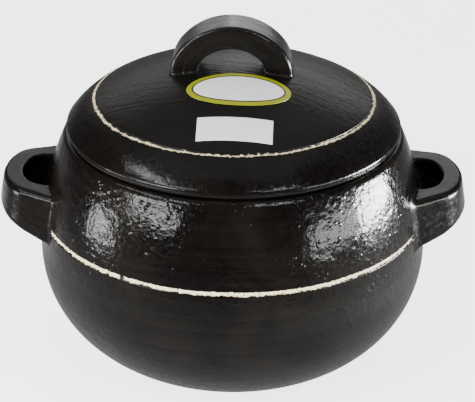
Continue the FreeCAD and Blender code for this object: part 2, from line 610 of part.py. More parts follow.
def arch(sketch, name, half, spring, top, corner, foot, half_formula, top_formula, corner_formula):
    """Two legs and a three-centred arch over them, in the handle's own outline."""
    aside = SIZE["handle_aside"]
    rise = top - spring
    inset = half - corner
    crown = (rise ** 2 + inset ** 2 - corner ** 2) / (2 * (rise - corner))
    crown_centre = point(aside, top - crown)
    right_centre = point(aside + inset, spring)
    left_centre = point(aside - inset, spring)
    right_meet = crown_centre + (right_centre - crown_centre).normalize() * crown
    left_meet = crown_centre + (left_centre - crown_centre).normalize() * crown
    right_spring = point(aside + half, spring)
    left_spring = point(aside - half, spring)
    right_leg = sketch.addGeometry(Part.LineSegment(point(right_spring.x, foot), right_spring))
    right_corner = sketch.addGeometry(arc_between(right_centre, right_spring, right_meet))
    over = sketch.addGeometry(arc_between(crown_centre, right_meet, left_meet))
    left_corner = sketch.addGeometry(arc_between(left_centre, left_meet, left_spring))
    left_leg = sketch.addGeometry(Part.LineSegment(left_spring, point(left_spring.x, foot)))
    hold(sketch, "Tangent", right_leg, END, right_corner, START)
    hold(sketch, "Tangent", right_corner, END, over, START)
    hold(sketch, "Tangent", over, END, left_corner, START)
    hold(sketch, "Tangent", left_corner, END, left_leg, START)
    hold(sketch, "Vertical", right_leg)
    hold(sketch, "Vertical", left_leg)
    hold(sketch, "Equal", right_corner, left_corner)
    hold(sketch, "Horizontal", right_corner, CENTRE, left_corner, CENTRE)
    bind(sketch, name + "_spring", "Sizes.handle_spring",
         "DistanceY", *ORIGIN, right_corner, CENTRE, spring)
    bind(sketch, name + "_corner", corner_formula, "Radius", right_corner, corner)
    bind(sketch, name + "_right", "Sizes.handle_aside + %s" % half_formula,
         "DistanceX", *ORIGIN, right_leg, START, right_spring.x)
    bind(sketch, name + "_left", "Sizes.handle_aside - (%s)" % half_formula,
         "DistanceX", *ORIGIN, left_leg, END, left_spring.x)
    rise_formula = "(%s - Sizes.handle_spring)" % top_formula
    inset_formula = "(%s - %s)" % (half_formula, corner_formula)
    bind(sketch, name + "_crown", "(%s ^ 2 + %s ^ 2 - %s ^ 2) / (2 * (%s - %s))"
         % (rise_formula, inset_formula, corner_formula, rise_formula, corner_formula),
         "Radius", over, crown)
    return right_leg, left_leg


def add_handle(body):
    """The arched handle: a thick strap of clay whose legs the dome is joined to."""
    sketch = new_sketch(body, "HandleOutline", "XZ_Plane")
    spring = SIZE["handle_spring"]
    foot = spring - PAST
    outer = arch(sketch, "outer", SIZE["handle_half"], spring, SIZE["handle_rise"],
                 SIZE["handle_corner"], foot,
                 "Sizes.handle_half", "Sizes.handle_rise", "Sizes.handle_corner")
    inner = arch(sketch, "inner", SIZE["handle_half"] - SIZE["handle_leg"], spring,
                 SIZE["handle_rise"] - SIZE["handle_crown"], SIZE["handle_gap_corner"], foot,
                 "(Sizes.handle_half - Sizes.handle_leg)", "(Sizes.handle_rise - Sizes.handle_crown)",
                 "Sizes.handle_gap_corner")
    outer_right, outer_left = outer
    inner_right, inner_left = inner
    aside = SIZE["handle_aside"]
    half = SIZE["handle_half"]
    gap_half = half - SIZE["handle_leg"]
    right_foot = sketch.addGeometry(
        Part.LineSegment(point(aside + gap_half, foot), point(aside + half, foot)))
    left_foot = sketch.addGeometry(
        Part.LineSegment(point(aside - half, foot), point(aside - gap_half, foot)))
    hold(sketch, "Coincident", right_foot, END, outer_right, START)
    hold(sketch, "Coincident", right_foot, START, inner_right, START)
    hold(sketch, "Coincident", left_foot, START, outer_left, END)
    hold(sketch, "Coincident", left_foot, END, inner_left, END)
    hold(sketch, "Horizontal", right_foot)
    hold(sketch, "Horizontal", left_foot)
    hold(sketch, "Horizontal", right_foot, START, left_foot, END)
    bind(sketch, "foot", "Sizes.handle_spring - %s" % PAST, "DistanceY", *ORIGIN, right_foot, END, foot)
    strap = body.newObject("PartDesign::Pad", "Handle")
    strap.Profile = sketch
    strap.Midplane = True
    strap.setExpression("Length", "Sizes.handle_depth")
    sketch.Visibility = False
    doc.recompute()

    def is_strap_edge(edge):
        """True for an edge of the arch's front or back, all but the buried ends."""
        points = edge.discretize(5)
        on_face = all(abs(abs(p.y) - SIZE["handle_depth"] / 2) < NEAR for p in points)
        return on_face and max(p.z for p in points) > foot + NEAR

    round_edges(body, "HandleEdges", "handle_edge", is_strap_edge)


def lute_handle(body):
    """The fillet of clay where the arch's legs meet the dome."""
    centre = FreeCAD.Vector(0, 0, crown_centre_z())

    def is_strap_root(edge):
        points = edge.discretize(5)
        on_dome = all(abs((p - centre).Length - SIZE["crown_arc"]) < NEAR for p in points)
        level = max(p.z for p in points) - min(p.z for p in points) < NEAR
        return on_dome and not level and max(abs(p.y) for p in points) > NEAR

    round_edges(body, "HandleLuting", "handle_luting", is_strap_root)


def hollow_lid(body):
    """The underside of the dome, inside the flange."""
    sketch = new_sketch(body, "HollowProfile", "XZ_Plane")
    inside = SIZE["flange_radius"] - SIZE["flange_wall"]
    wall = SIZE["lid_wall"]
    low = -SIZE["flange_depth"] - PAST
    corner = crown_point(inside, -wall)
    top = point(0, SIZE["lid_rise"] - wall)
    arc = sketch.addGeometry(arc_between(point(0, crown_centre_z()), corner, top))
    axis = sketch.addGeometry(Part.LineSegment(top, point(0, low)))
    under = sketch.addGeometry(Part.LineSegment(point(0, low), point(inside, low)))
    side = sketch.addGeometry(Part.LineSegment(point(inside, low), corner))
    close_chain(sketch, arc, axis, under, side)
    hold(sketch, "PointOnObject", arc, CENTRE, UP_AXIS)
    hold(sketch, "PointOnObject", arc, END, UP_AXIS)
    hold(sketch, "Vertical", axis)
    hold(sketch, "Horizontal", under)
    hold(sketch, "Vertical", side)
    bind(sketch, "arc", "Sizes.crown_arc - Sizes.lid_wall", "Radius", arc, SIZE["crown_arc"] - wall)
    bind(sketch, "top", "Sizes.lid_rise - Sizes.lid_wall", "DistanceY", *ORIGIN, arc, END, top.y)
    bind(sketch, "inside", "Sizes.flange_radius - Sizes.flange_wall",
         "DistanceX", *ORIGIN, side, START, inside)
    bind(sketch, "low", "-Sizes.flange_depth - %s" % PAST, "DistanceY", *ORIGIN, under, START, low)
    revolve(body, "Groove", "Hollow", sketch)


def pierce_vent(body):
    """The steam hole, upright through the dome behind the handle."""
    sketch = new_sketch(body, "VentOutline", "XY_Plane")
    bore = SIZE["vent_bore"] / 2
    reach = SIZE["vent_reach"]
    circle = sketch.addGeometry(Part.Circle(point(0, reach), FreeCAD.Vector(0, 0, 1), bore))
    hold(sketch, "PointOnObject", circle, CENTRE, UP_AXIS)
    bind(sketch, "bore", "Sizes.vent_bore / 2", "Radius", circle, bore)
    bind(sketch, "reach", "Sizes.vent_reach", "DistanceY", *ORIGIN, circle, CENTRE, reach)
    cut_through(body, "Vent", sketch)

    def is_vent_rim(edge):
        points = edge.discretize(6)
        level = max(p.z for p in points) - min(p.z for p in points)
        on_bore = all(abs(math.hypot(p.x, p.y - reach) - bore) < NEAR for p in points)
        return on_bore and level < SIZE["lid_wall"] / 2 and edge.Length > bore

    round_edges(body, "VentEdges", "vent_edge", is_vent_rim)


def make_lid():
    body = new_body("lid")
    add_handle(body)
    turn_lid(body)
    lute_handle(body)
    hollow_lid(body)
    pierce_vent(body)
    outside = SIZE["flange_radius"]
    inside = outside - SIZE["flange_wall"]
    foot = -SIZE["flange_depth"]
    edge_radius = SIZE["lid_radius"]
    round_edges(body, "FlangeEdges", "flange_edge",
                lambda edge: is_ring(edge, outside, foot) or is_ring(edge, inside, foot))
    round_edges(body, "LidCrest", "lid_crest", lambda edge: is_ring(edge, edge_radius, SIZE["lid_edge"]))
    round_edges(body, "LidUnder", "lid_under", lambda edge: is_ring(edge, edge_radius, 0))
    seat_lid(body)
    return body


def paper_cap(body):
    """A cap of paper over the whole dome, which each label is cut from."""
    sketch = new_sketch(body, "PaperProfile", "XZ_Plane")
    reach = SIZE["crown_radius"]
    centre = point(0, crown_centre_z())
    low = SIZE["glue"]
    high = SIZE["glue"] + SIZE["paper"]
    under = sketch.addGeometry(arc_between(centre, crown_point(reach, low), crown_point(0, low)))
    over = sketch.addGeometry(arc_between(centre, crown_point(reach, high), crown_point(0, high)))
    axis = sketch.addGeometry(Part.LineSegment(crown_point(0, low), crown_point(0, high)))
    side = sketch.addGeometry(Part.LineSegment(crown_point(reach, high), crown_point(reach, low)))
    hold(sketch, "Coincident", under, END, axis, START)
    hold(sketch, "Coincident", axis, END, over, END)
    hold(sketch, "Coincident", over, START, side, START)
    hold(sketch, "Coincident", side, END, under, START)
    hold(sketch, "Coincident", under, CENTRE, over, CENTRE)
    hold(sketch, "PointOnObject", under, CENTRE, UP_AXIS)
    hold(sketch, "PointOnObject", under, END, UP_AXIS)
    hold(sketch, "PointOnObject", over, END, UP_AXIS)
    hold(sketch, "Vertical", side)
    bind(sketch, "centre", "Sizes.lid_rise - Sizes.crown_arc",
         "DistanceY", *ORIGIN, under, CENTRE, centre.y)
    bind(sketch, "under", "Sizes.crown_arc + Sizes.glue", "Radius", under, SIZE["crown_arc"] + low)
    bind(sketch, "over", "Sizes.crown_arc + Sizes.glue + Sizes.paper",
         "Radius", over, SIZE["crown_arc"] + high)
    bind(sketch, "reach", "Sizes.crown_radius", "DistanceX", *ORIGIN, side, START, reach)
    revolve(body, "Revolution", "PaperCap", sketch)


def waste_ring(sketch):
    """The outer edge of the paper that is cut away round a label."""
    reach = SIZE["crown_radius"] + PAST
    ring = sketch.addGeometry(Part.Circle(point(0, 0), FreeCAD.Vector(0, 0, 1), reach))
    hold(sketch, "Coincident", ring, CENTRE, *ORIGIN)
    bind(sketch, "waste", "Sizes.crown_radius + %s" % PAST, "Radius", ring, reach)


def make_oval_label():
    body = new_body("oval_label")
    paper_cap(body)
    sketch = new_sketch(body, "OvalOutline", "XY_Plane")
    waste_ring(sketch)
    centre = point(SIZE["oval_aside"], -SIZE["oval_forward"])
    end = centre + point(SIZE["oval_half_length"], 0)
    side = centre + point(0, SIZE["oval_half_width"])
    oval = sketch.addGeometry(Part.Ellipse(end, side, centre))
    sketch.exposeInternalGeometry(oval)
    long_axis = oval + 1
    short_axis = oval + 2
    hold(sketch, "Horizontal", long_axis)
    bind(sketch, "length", "2 * Sizes.oval_half_length", "Distance", long_axis, START, long_axis, END,
         2 * SIZE["oval_half_length"])
    bind(sketch, "width", "2 * Sizes.oval_half_width", "Distance", short_axis, START, short_axis, END,
         2 * SIZE["oval_half_width"])
    bind(sketch, "aside", "Sizes.oval_aside", "DistanceX", *ORIGIN, oval, CENTRE, centre.x)
    bind(sketch, "forward", "-Sizes.oval_forward", "DistanceY", *ORIGIN, oval, CENTRE, centre.y)
    cut_through(body, "Trimmed", sketch)
    seat_lid(body)
    return body


def make_strip_label():
    body = new_body("strip_label")
    paper_cap(body)
    sketch = new_sketch(body, "StripOutline", "XY_Plane")
    waste_ring(sketch)
    left = SIZE["strip_aside"] - SIZE["strip_length"] / 2
    right = SIZE["strip_aside"] + SIZE["strip_length"] / 2
    front = -SIZE["strip_forward"] - SIZE["strip_width"] / 2
    back = -SIZE["strip_forward"] + SIZE["strip_width"] / 2
    corners = (point(left, front), point(right, front), point(right, back), point(left, back))
    sides = [sketch.addGeometry(Part.LineSegment(corners[number], corners[(number + 1) % 4]))
             for number in range(4)]
    front_side, right_side, back_side, left_side = sides
    close_chain(sketch, *sides)
    hold(sketch, "Horizontal", front_side)
    hold(sketch, "Vertical", right_side)
    hold(sketch, "Horizontal", back_side)
    hold(sketch, "Vertical", left_side)
    bind(sketch, "left", "Sizes.strip_aside - Sizes.strip_length / 2",
         "DistanceX", *ORIGIN, front_side, START, left)
    bind(sketch, "right", "Sizes.strip_aside + Sizes.strip_length / 2",
         "DistanceX", *ORIGIN, front_side, END, right)
    bind(sketch, "front", "-Sizes.strip_forward - Sizes.strip_width / 2",
         "DistanceY", *ORIGIN, front_side, START, front)
    bind(sketch, "back", "-Sizes.strip_forward + Sizes.strip_width / 2",
         "DistanceY", *ORIGIN, back_side, START, back)
    cut_through(body, "Trimmed", sketch)
    seat_lid(body)
    return body


pieces = (make_pot(), make_lid(), make_oval_label(), make_strip_label())
doc.recompute()

for item in doc.Objects:
    if "Invalid" in item.State or "Error" in item.State:
        raise RuntimeError("%s could not be built" % item.Name)
for piece in pieces:
    if piece.Shape.isNull() or not piece.Shape.isValid():
        raise RuntimeError("%s has no valid solid" % piece.Label)

os.makedirs("parts", exist_ok=True)
for piece in pieces:
    piece.Shape.exportStep("parts/%s.step" % piece.Label)
    print("%s: %.0f mm3" % (piece.Label, piece.Shape.Volume))
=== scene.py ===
import math

import bmesh
import bpy
from bpy.props import FloatProperty, FloatVectorProperty, IntProperty, PointerProperty
from mathutils import Matrix, Vector, noise


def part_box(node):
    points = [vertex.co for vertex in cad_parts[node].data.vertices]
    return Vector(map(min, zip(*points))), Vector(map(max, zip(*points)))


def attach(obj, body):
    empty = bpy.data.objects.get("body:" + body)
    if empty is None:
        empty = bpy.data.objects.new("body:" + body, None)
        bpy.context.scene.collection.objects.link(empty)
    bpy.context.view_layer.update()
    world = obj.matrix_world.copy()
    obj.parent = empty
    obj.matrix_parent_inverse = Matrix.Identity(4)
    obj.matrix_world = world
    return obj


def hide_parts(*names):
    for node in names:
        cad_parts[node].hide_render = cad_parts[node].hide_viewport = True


bl_info = {
    "name": "Rice pot with a domed lid",
    "version": (1, 0, 0),
    "blender": (4, 5, 0),
    "location": "3D View > Sidebar > Rice pot",
    "description": "Dresses the rice pot's frame in thrown, glazed clay and paper labels",
    "category": "Object",
}

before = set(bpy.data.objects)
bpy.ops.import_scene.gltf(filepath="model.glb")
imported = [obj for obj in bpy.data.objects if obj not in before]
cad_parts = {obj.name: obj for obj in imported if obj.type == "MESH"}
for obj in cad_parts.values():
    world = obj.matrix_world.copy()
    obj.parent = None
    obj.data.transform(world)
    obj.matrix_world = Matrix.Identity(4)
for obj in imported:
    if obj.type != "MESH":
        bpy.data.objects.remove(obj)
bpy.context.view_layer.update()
RIM_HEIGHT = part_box("pot_body")[1].z

# The smallest length that counts, in metres
TINY = 1e-6


def size(name, description, default):
    return FloatProperty(name=name, description=description, default=default,
                         subtype="DISTANCE", unit="LENGTH", precision=5)


def slant(name, description, degrees):
    return FloatProperty(name=name, description=description, default=math.radians(degrees),
                         subtype="ANGLE", unit="ROTATION")


def share(name, description, default):
    return FloatProperty(name=name, description=description, default=default, min=0.0, max=1.0,
                         subtype="FACTOR")


def colour(name, description, default):
    return FloatVectorProperty(name=name, description=description, default=(*default, 1.0), size=4,
                               min=0.0, max=1.0, subtype="COLOR")


class BowlSizes(bpy.types.PropertyGroup):
    belly_radius: size("Belly radius", "Widest radius of the bowl", 0.105)
    belly_height: size("Belly height", "Height of the widest level, and radius of the lower round", 0.0623)
    shoulder_arc: size("Shoulder arc", "Radius of the shoulder's profile", 0.157)
    rim_height: size("Rim height", "Height of the level rim", RIM_HEIGHT)
    wall: size("Wall", "Thickness of the wall and floor", 0.0085)
    rim_width: size("Rim width", "Width of the rim, from its outer edge to the mouth", 0.0086)
    rim_roll: size("Rim roll", "Rounding of the rim's outer edge", 0.004)
    rim_bevel: size("Rim bevel", "Rounding of the rim's inner edge", 0.0012)
    mouth_depth: size("Mouth depth", "Height of the straight bore of the mouth", 0.010)
    mouth_slope: size("Mouth slope", "Height of the slope under the bore", 0.005)
    line_drop: size("Line drop", "Drop from the rim to the incised line", 0.0443)
    line_tool: size("Line tool", "Radius of the tool that cut the lines", 0.0011)
    line_depth: size("Line depth", "Depth of the lines", 0.0005)
    line_end: size("Line end", "Half width of the space at each ear that the line leaves", 0.0365)
    steps: IntProperty(name="Steps", description="Faces round the bowl", default=288, min=12)


class EarSizes(bpy.types.PropertyGroup):
    reach: size("Reach", "Distance of the ear's tip from the axis, at its top", 0.1238)
    top_drop: size("Top drop", "Drop from the rim to the ear's top at its tip", 0.0242)
    top_slope: slant("Top slope", "Slope of the top, rising outward", 5.3)
    tip_height: size("Tip height", "Height of the ear's wall at its tip", 0.0175)
    under_slope: slant("Under slope", "Slope of the underside, rising outward", 23.0)
    flare: slant("Flare", "Flare of the outer wall, growing downward", 10.0)
    nose: size("Nose", "Radius of the outline at the tip", 0.045)
    corner: size("Corner", "Radius of the outline's corners", 0.019)
    corner_side: size("Corner side", "Sideways place of the corners' centres", 0.0106)
    root_in: size("Root in", "Distance inside the widest radius where the root is measured", 0.007)
    root_half: size("Root half", "Half width of the ear at its root", 0.0334)
    grip_wall: size("Grip wall", "Thickness of the ear's wall at its tip", 0.0108)
    grip_nose: size("Grip nose", "Radius of the gap's outline at its end", 0.026)
    grip_corner: size("Grip corner", "Radius of the gap's corners", 0.011)
    grip_corner_side: size("Grip corner side", "Sideways place of the gap corners' centres", 0.0068)
    grip_root_half: size("Grip root half", "Half width of the gap at the root", 0.0184)
    edge: size("Edge", "Rounding of the ear's edges", 0.0022)
    brow: size("Brow", "Rounding of the outer edge of the ear's top", 0.0036)
    luting: size("Luting", "Fillet of clay where the right ear joins the bowl", 0.003)
    left_luting: size("Left luting", "Fillet of clay where the left ear joins the bowl", 0.0016)


class LidSizes(bpy.types.PropertyGroup):
    overlap: size("Overlap", "Width of the seat, from the mouth to the lid's edge", 0.0075)
    edge: size("Edge", "Height of the lid's edge", 0.0042)
    rise: share("Rise", "Height of the dome above the seat, in lid radii", 0.4112)
    round: FloatProperty(name="Round", description="Radius of the dome's arc, in lid radii", default=1.753)
    spread: share("Spread", "Radius where the dome bends down, in lid radii", 0.8034)
    wall: size("Wall", "Wall of the dome", 0.0075)
    play: size("Play", "Clearance between the flange and the mouth", 0.001)
    flange_depth: size("Flange depth", "Depth of the flange below the seat", 0.007)
    flange_wall: size("Flange wall", "Wall of the flange", 0.0065)
    flange_edge: size("Flange edge", "Rounding of the flange's lower edges", 0.0015)
    crest: size("Crest", "Length of the rounding on each side of the lid's crest", 0.0005)
    facet_lean: slant("Facet lean", "Lean of the facet under the crest", 14.0)
    facet_curve: slant("Facet curve", "Turn of the facet from its foot to the crest", 26.0)
    facet_foot: share("Facet foot", "Height of the facet's foot, in edge heights", 0.80)
    mark_place: share("Mark place", "Height of the turned mark, in edge heights", 0.71)
    mark_depth: size("Mark depth", "Depth of the turned mark", 0.0005)
    under: size("Under", "Rounding of the lid's lower edge", 0.0024)
    line_to_edge: size("Line to edge", "Distance of the incised line inside the lid's edge", 0.0148)
    vent_bore: size("Steam hole", "Diameter of the steam hole", 0.008)
    vent_edge: size("Steam hole edge", "Rounding of the steam hole's edges", 0.0012)
    vent_reach: size("Steam hole place", "Distance of the steam hole behind the axis", 0.048)
    turn: slant("Turn", "Turn of the lid about the axis", -2.0)
    steps: IntProperty(name="Steps", description="Faces round the lid", default=288, min=12)


class HandleSizes(bpy.types.PropertyGroup):
    half: size("Half width", "Half width of the arch", 0.032)
    stand: size("Stand", "Height of the arch's top above the dome", 0.0236)
    leg_rise: size("Leg rise", "Height above the dome where the arch springs from its legs", 0.0011)
    corner: share("Corner", "Radius of the arch's shoulders, in half widths", 0.656)
    leg: size("Leg", "Width of each leg", 0.0139)
    crown: size("Crown", "Thickness of the arch at its top", 0.0125)
    depth: size("Depth", "Depth of the arch from front to back", 0.022)
    aside: size("Aside", "Sideways place of the arch", -0.0012)
    gap_corner: share("Gap corner", "Radius of the shoulders under the arch, in half gaps", 0.58)
    edge: size("Edge", "Rounding of the edges under the arch", 0.0016)
    brow: size("Brow", "Rounding of the arch's upper edges", 0.0021)
    luting: size("Luting", "Fillet of clay where the arch joins the dome", 0.0011)


class GlazeLook(bpy.types.PropertyGroup):
    dark: colour("Glaze", "Near black brown of the glaze", (0.0022, 0.0017, 0.0015))
    worn: colour("Worn glaze", "Olive brown where the glaze is thin", (0.0074, 0.0063, 0.0049))
    pale: colour("Pale line", "Bare pale slip in the incised lines", (0.93, 0.80, 0.52))
    bowl_line: size("Bowl line", "Half width of the pale line on the bowl", 0.00090)
    lid_line: size("Lid line", "Half width of the pale line on the lid", 0.00060)
    nick_turn: slant("Nick", "Place of a nick in the bowl's line, round the axis from the right", -122.2)
    nick: size("Nick size", "Half width of the nick", 0.0011)


class LabelLook(bpy.types.PropertyGroup):
    border: colour("Border", "Green border of the oval label", (0.26, 0.28, 0.0))
    outline: colour("Outline", "Thin line inside the border", (0.008, 0.01, 0.006))
    paper: colour("Paper", "White of both labels", (0.80, 0.80, 0.80))
    oval_aside: size("Oval aside", "Sideways place of the oval label", 0.0034)
    oval_forward: size("Oval forward", "Distance of the oval label in front of the axis", 0.0281)
    field_length: size("Field half length", "Half length of the white field", 0.0232)
    field_width: size("Field half width", "Half width of the white field", 0.0109)
    outline_width: size("Outline width", "Width of the thin line", 0.0009)


class StageLook(bpy.types.PropertyGroup):
    floor_half: size("Floor half width", "Half width of the floor", 12.0)
    floor: colour("Floor", "Pale floor", (0.90, 0.90, 0.90))
    # Floor colours that only the glaze's reflections show: painted shade, dimmer than the floor itself near
    # the pot and darker farther off.
    painted_near_floor_reflection: colour("Floor in the glaze", "Floor near the pot as its glaze shows it",
                           (0.58, 0.58, 0.58))
    painted_far_floor_reflection: colour("Far floor in the glaze", "Floor farther off as the glaze shows it",
                               (0.19, 0.19, 0.19))
    floor_glow: FloatProperty(name="Floor glow", description="Strength of the floor's own light",
                              default=3.3)
    distance: size("Camera distance", "Distance of the camera from the point it looks at", 0.900)
    elevation: slant("Camera elevation", "Angle of the camera above the horizon", 26.85)
    roll: slant("Camera roll", "Roll of the camera", 0.69)
    aim_across: size("Aim across", "Sideways place of the point it looks at", 0.00248)
    aim_up: size("Aim up", "Height of the point it looks at", 0.08421)


def arc(centre, radius, start, end, spacing):
    """Points along an arc in a profile, from one angle to another."""
    count = max(2, math.ceil(abs(end - start) * radius / spacing))
    angles = [start + (end - start) * step / count for step in range(count + 1)]
    return [Vector((centre[0] + radius * math.cos(a), centre[1] + radius * math.sin(a))) for a in angles]


def run(start, end, spacing):
    """Points along a straight part of a profile."""
    start, end = Vector(start), Vector(end)
    count = max(1, math.ceil((end - start).length / spacing))
    return [start.lerp(end, step / count) for step in range(count + 1)]


def joined(*parts):
    """One profile from parts that follow each other."""
    points = [parts[0][0]]
    for part in parts:
        points += [p for p in part if (p - points[-1]).length > TINY or p is part[-1]]
    return [p for number, p in enumerate(points) if number == 0 or (p - points[number - 1]).length > TINY]


def angle_of(vector):
    return math.atan2(vector[1], vector[0])


def heading(angle):
    return Vector((math.cos(angle), math.sin(angle)))


def thrown(profile, steps):
    """Clay thrown on the wheel: a profile turned once round the axis."""
    clay = bmesh.new()
    points = [clay.verts.new((p[0], 0, p[1])) for p in profile]
    edges = [clay.edges.new(pair) for pair in zip(points, points[1:])]
    bmesh.ops.spin(clay, geom=points + edges, cent=(0, 0, 0), axis=(0, 0, 1), dvec=(0, 0, 0),
                   angle=math.tau, steps=steps, use_merge=True, use_normal_flip=False, use_duplicate=False)
    bmesh.ops.remove_doubles(clay, verts=clay.verts, dist=TINY)
    bmesh.ops.recalc_face_normals(clay, faces=clay.faces)
    clay.normal_update()
    return clay


def rounded(corners, radii, per_side, per_corner):
    """Points round a section of four corners, each rounded by its own radius, starting at the first."""
    ring = []
    for number, corner in enumerate(corners):
        radius = radii[number]
        next_radius = radii[(number + 1) % 4]
        before = (corners[number - 1] - corner).normalized()
        after = (corners[(number + 1) % 4] - corner).normalized()
        half = before.angle(after) / 2
        centre = corner + (before + after).normalized() * (radius / math.sin(half))
        start = (corner + before * (radius / math.tan(half))) - centre
        end = (corner + after * (radius / math.tan(half))) - centre
        for step in range(per_corner + 1):
            ring.append(centre + start.slerp(end, step / per_corner) * radius)
        following = corners[(number + 1) % 4]
        coming = (corners[(number + 2) % 4] - following).normalized()
        next_half = (-after).angle(coming) / 2
        side_start = corner + after * (radius / math.tan(half))
        side_end = following - after * (next_radius / math.tan(next_half))
        for step in range(1, per_side):
            ring.append(side_start.lerp(side_end, step / per_side))
    return ring


def strap(rings):
    """A bent strap of clay from rings of points: a sheet wrapped round them and capped at both ends."""
    clay = bmesh.new()
    rows = len(rings) - 1
    around = len(rings[0])
    bmesh.ops.create_grid(clay, x_segments=rows, y_segments=around, size=1)
    grain = clay.loops.layers.uv.new("Grain")
    along = [0.0]
    for before, after in zip(rings, rings[1:]):
        along.append(along[-1] + sum((a - b).length for a, b in zip(before, after)) / around)
    middle = rings[rows // 2]
    across = [0.0]
    for number in range(around):
        across.append(across[-1] + (middle[(number + 1) % around] - middle[number]).length)
    for face in clay.faces:
        for loop in face.loops:
            row = round((loop.vert.co.x + 1) / 2 * rows)
            place = round((loop.vert.co.y + 1) / 2 * around)
            loop[grain].uv = (along[row], across[place])
    for vert in clay.verts:
        row = round((vert.co.x + 1) / 2 * rows)
        place = round((vert.co.y + 1) / 2 * around) % around
        vert.co = rings[row][place]
    bmesh.ops.remove_doubles(clay, verts=clay.verts, dist=TINY)
    bmesh.ops.holes_fill(clay, edges=clay.edges, sides=0)
    bmesh.ops.recalc_face_normals(clay, faces=clay.faces)
    clay.normal_update()
    return clay


def mirrored_path(half):
    """A path that is the same on both sides of its middle, from one end to the other."""
    other = [(Vector((p[0], -p[1])), Vector((n[0], -n[1]))) for p, n in half[:0:-1]]
    return other + half


def fillet(radius, height):
    """How far a fillet stands off a wall at a height above the surface that it runs out on."""
    short = radius - min(max(height, 0.0), radius)
    return radius - math.sqrt(radius ** 2 - short ** 2)


def lute(clay, radius, height_over):
    """Swells a piece's root into a fillet of clay where it meets the surface that it is luted to."""
    moves = {}
    for vert in clay.verts:
        walls = [face.normal for face in vert.link_faces if len(face.verts) == 4]
        if not walls or height_over(vert.co) > 2 * radius:
            continue
        out = sum(walls, Vector()).normalized()
        low, high = 0.0, radius
        for _ in range(12):
            middle = (low + high) / 2
            if fillet(radius, height_over(vert.co + out * middle)) > middle:
                low = middle
            else:
                high = middle
        moves[vert] = out * low
    for vert, move in moves.items():
        vert.co += move
    clay.normal_update()


# Depths of the wheel's rings and of the clay's slow swell, on the bowl and on the lid
BOWL_RINGS, BOWL_SWELL = 0.00007, 0.0003
LID_RINGS, LID_SWELL = 0.00004, 0.0002

# How deep the hand pressed the ears, its finer marks on them, and how deep it pressed the arch
EAR_PRESS, EAR_MARKS, ARCH_PRESS = 0.0005, 0.00016, 0.0004


def waves(spot, scale, shift=0):
    """Unevenness from 0 to 1; scale is how many waves a metre has along each axis."""
    return 0.5 + 0.5 * noise.noise(Vector((spot.x * scale[0], spot.y * scale[1], spot.z * scale[2] + shift)))


def sink(clay, scale, depth):
    """Presses the surface in a little and unevenly, as by hand."""
    for vert in clay.verts:
        vert.co -= vert.normal * (depth * waves(vert.co, scale))
    clay.normal_update()


def set_piece(name, clay, material, node):
    """Makes a finished piece from its mesh, in its place and riding on the root body."""
    mesh = bpy.data.meshes.new(name)
    clay.to_mesh(mesh)
    clay.free()
    mesh.polygons.foreach_set("use_smooth", [True] * len(mesh.polygons))
    mesh.materials.append(material)
    piece = bpy.data.objects.new(name, mesh)
    bpy.context.scene.collection.objects.link(piece)
    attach(piece, "root")
    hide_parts(node)
    return piece


def shoulder_centre(bowl):
    return Vector((bowl.belly_radius - bowl.shoulder_arc, bowl.belly_height))


def bowl_height_over(bowl, spot):
    """Distance of a point outside the bowl's outer face; negative inside the clay."""
    across = math.hypot(spot.x, spot.y)
    if spot.z >= bowl.belly_height:
        centre = shoulder_centre(bowl)
        return math.hypot(across - centre.x, spot.z - centre.y) - bowl.shoulder_arc
    return math.hypot(across - bowl.belly_radius + bowl.belly_height,
                      spot.z - bowl.belly_height) - bowl.belly_height


def mouth_radius(bowl):
    rise = bowl.rim_height - bowl.belly_height
    return shoulder_centre(bowl).x + math.sqrt(bowl.shoulder_arc ** 2 - rise ** 2) - bowl.rim_width


def groove(centre, radius, tool, depth, at_angle, upward, spacing):
    """The mark of a round tool on an arc, and the angles where it starts and ends."""
    half_width = math.sqrt(tool ** 2 - (tool - depth) ** 2)
    lean = math.asin(half_width / radius)
    offset = radius * math.cos(lean) + tool - depth
    tool_centre = centre + heading(at_angle) * offset
    open_angle = math.asin(half_width / tool)
    turn = open_angle if upward else -open_angle
    mark = arc(tool_centre, tool, at_angle + math.pi + turn, at_angle + math.pi - turn, spacing)
    side = lean if upward else -lean
    return at_angle - side, mark, at_angle + side


# Spacing of the points of a profile: on curves, in small marks, and on straight and inner parts
FINE = 0.0008
LINE_FINE = 0.00015
COARSE = 0.003

# Points on the nose, a corner and an arm of an ear, and on the crown, a shoulder and a leg of the arch
EAR_COUNTS = (10, 22, 52)
ARCH_COUNTS = (26, 26, 16)

# Points along a side of a strap's section, and round a corner of the ears' and of the arch's
ON_SIDE, ON_EAR_CORNER, ON_ARCH_CORNER = 12, 7, 6

# Distances from the axis where the arms of an ear's outer and inner outline end, inside the bowl's wall
OUTER_ARM_END, INNER_ARM_END = 0.0885, 0.0925

# Shares of the wall that the ears and the arch are buried in, and that belong to the dome's outer face
EAR_BURIED, ARCH_BURIED, OUTER_SHARE = 0.6, 0.95, 0.7

# Upward part of the normal from which a face of the lid counts as facing up
FACING_UP = 0.4


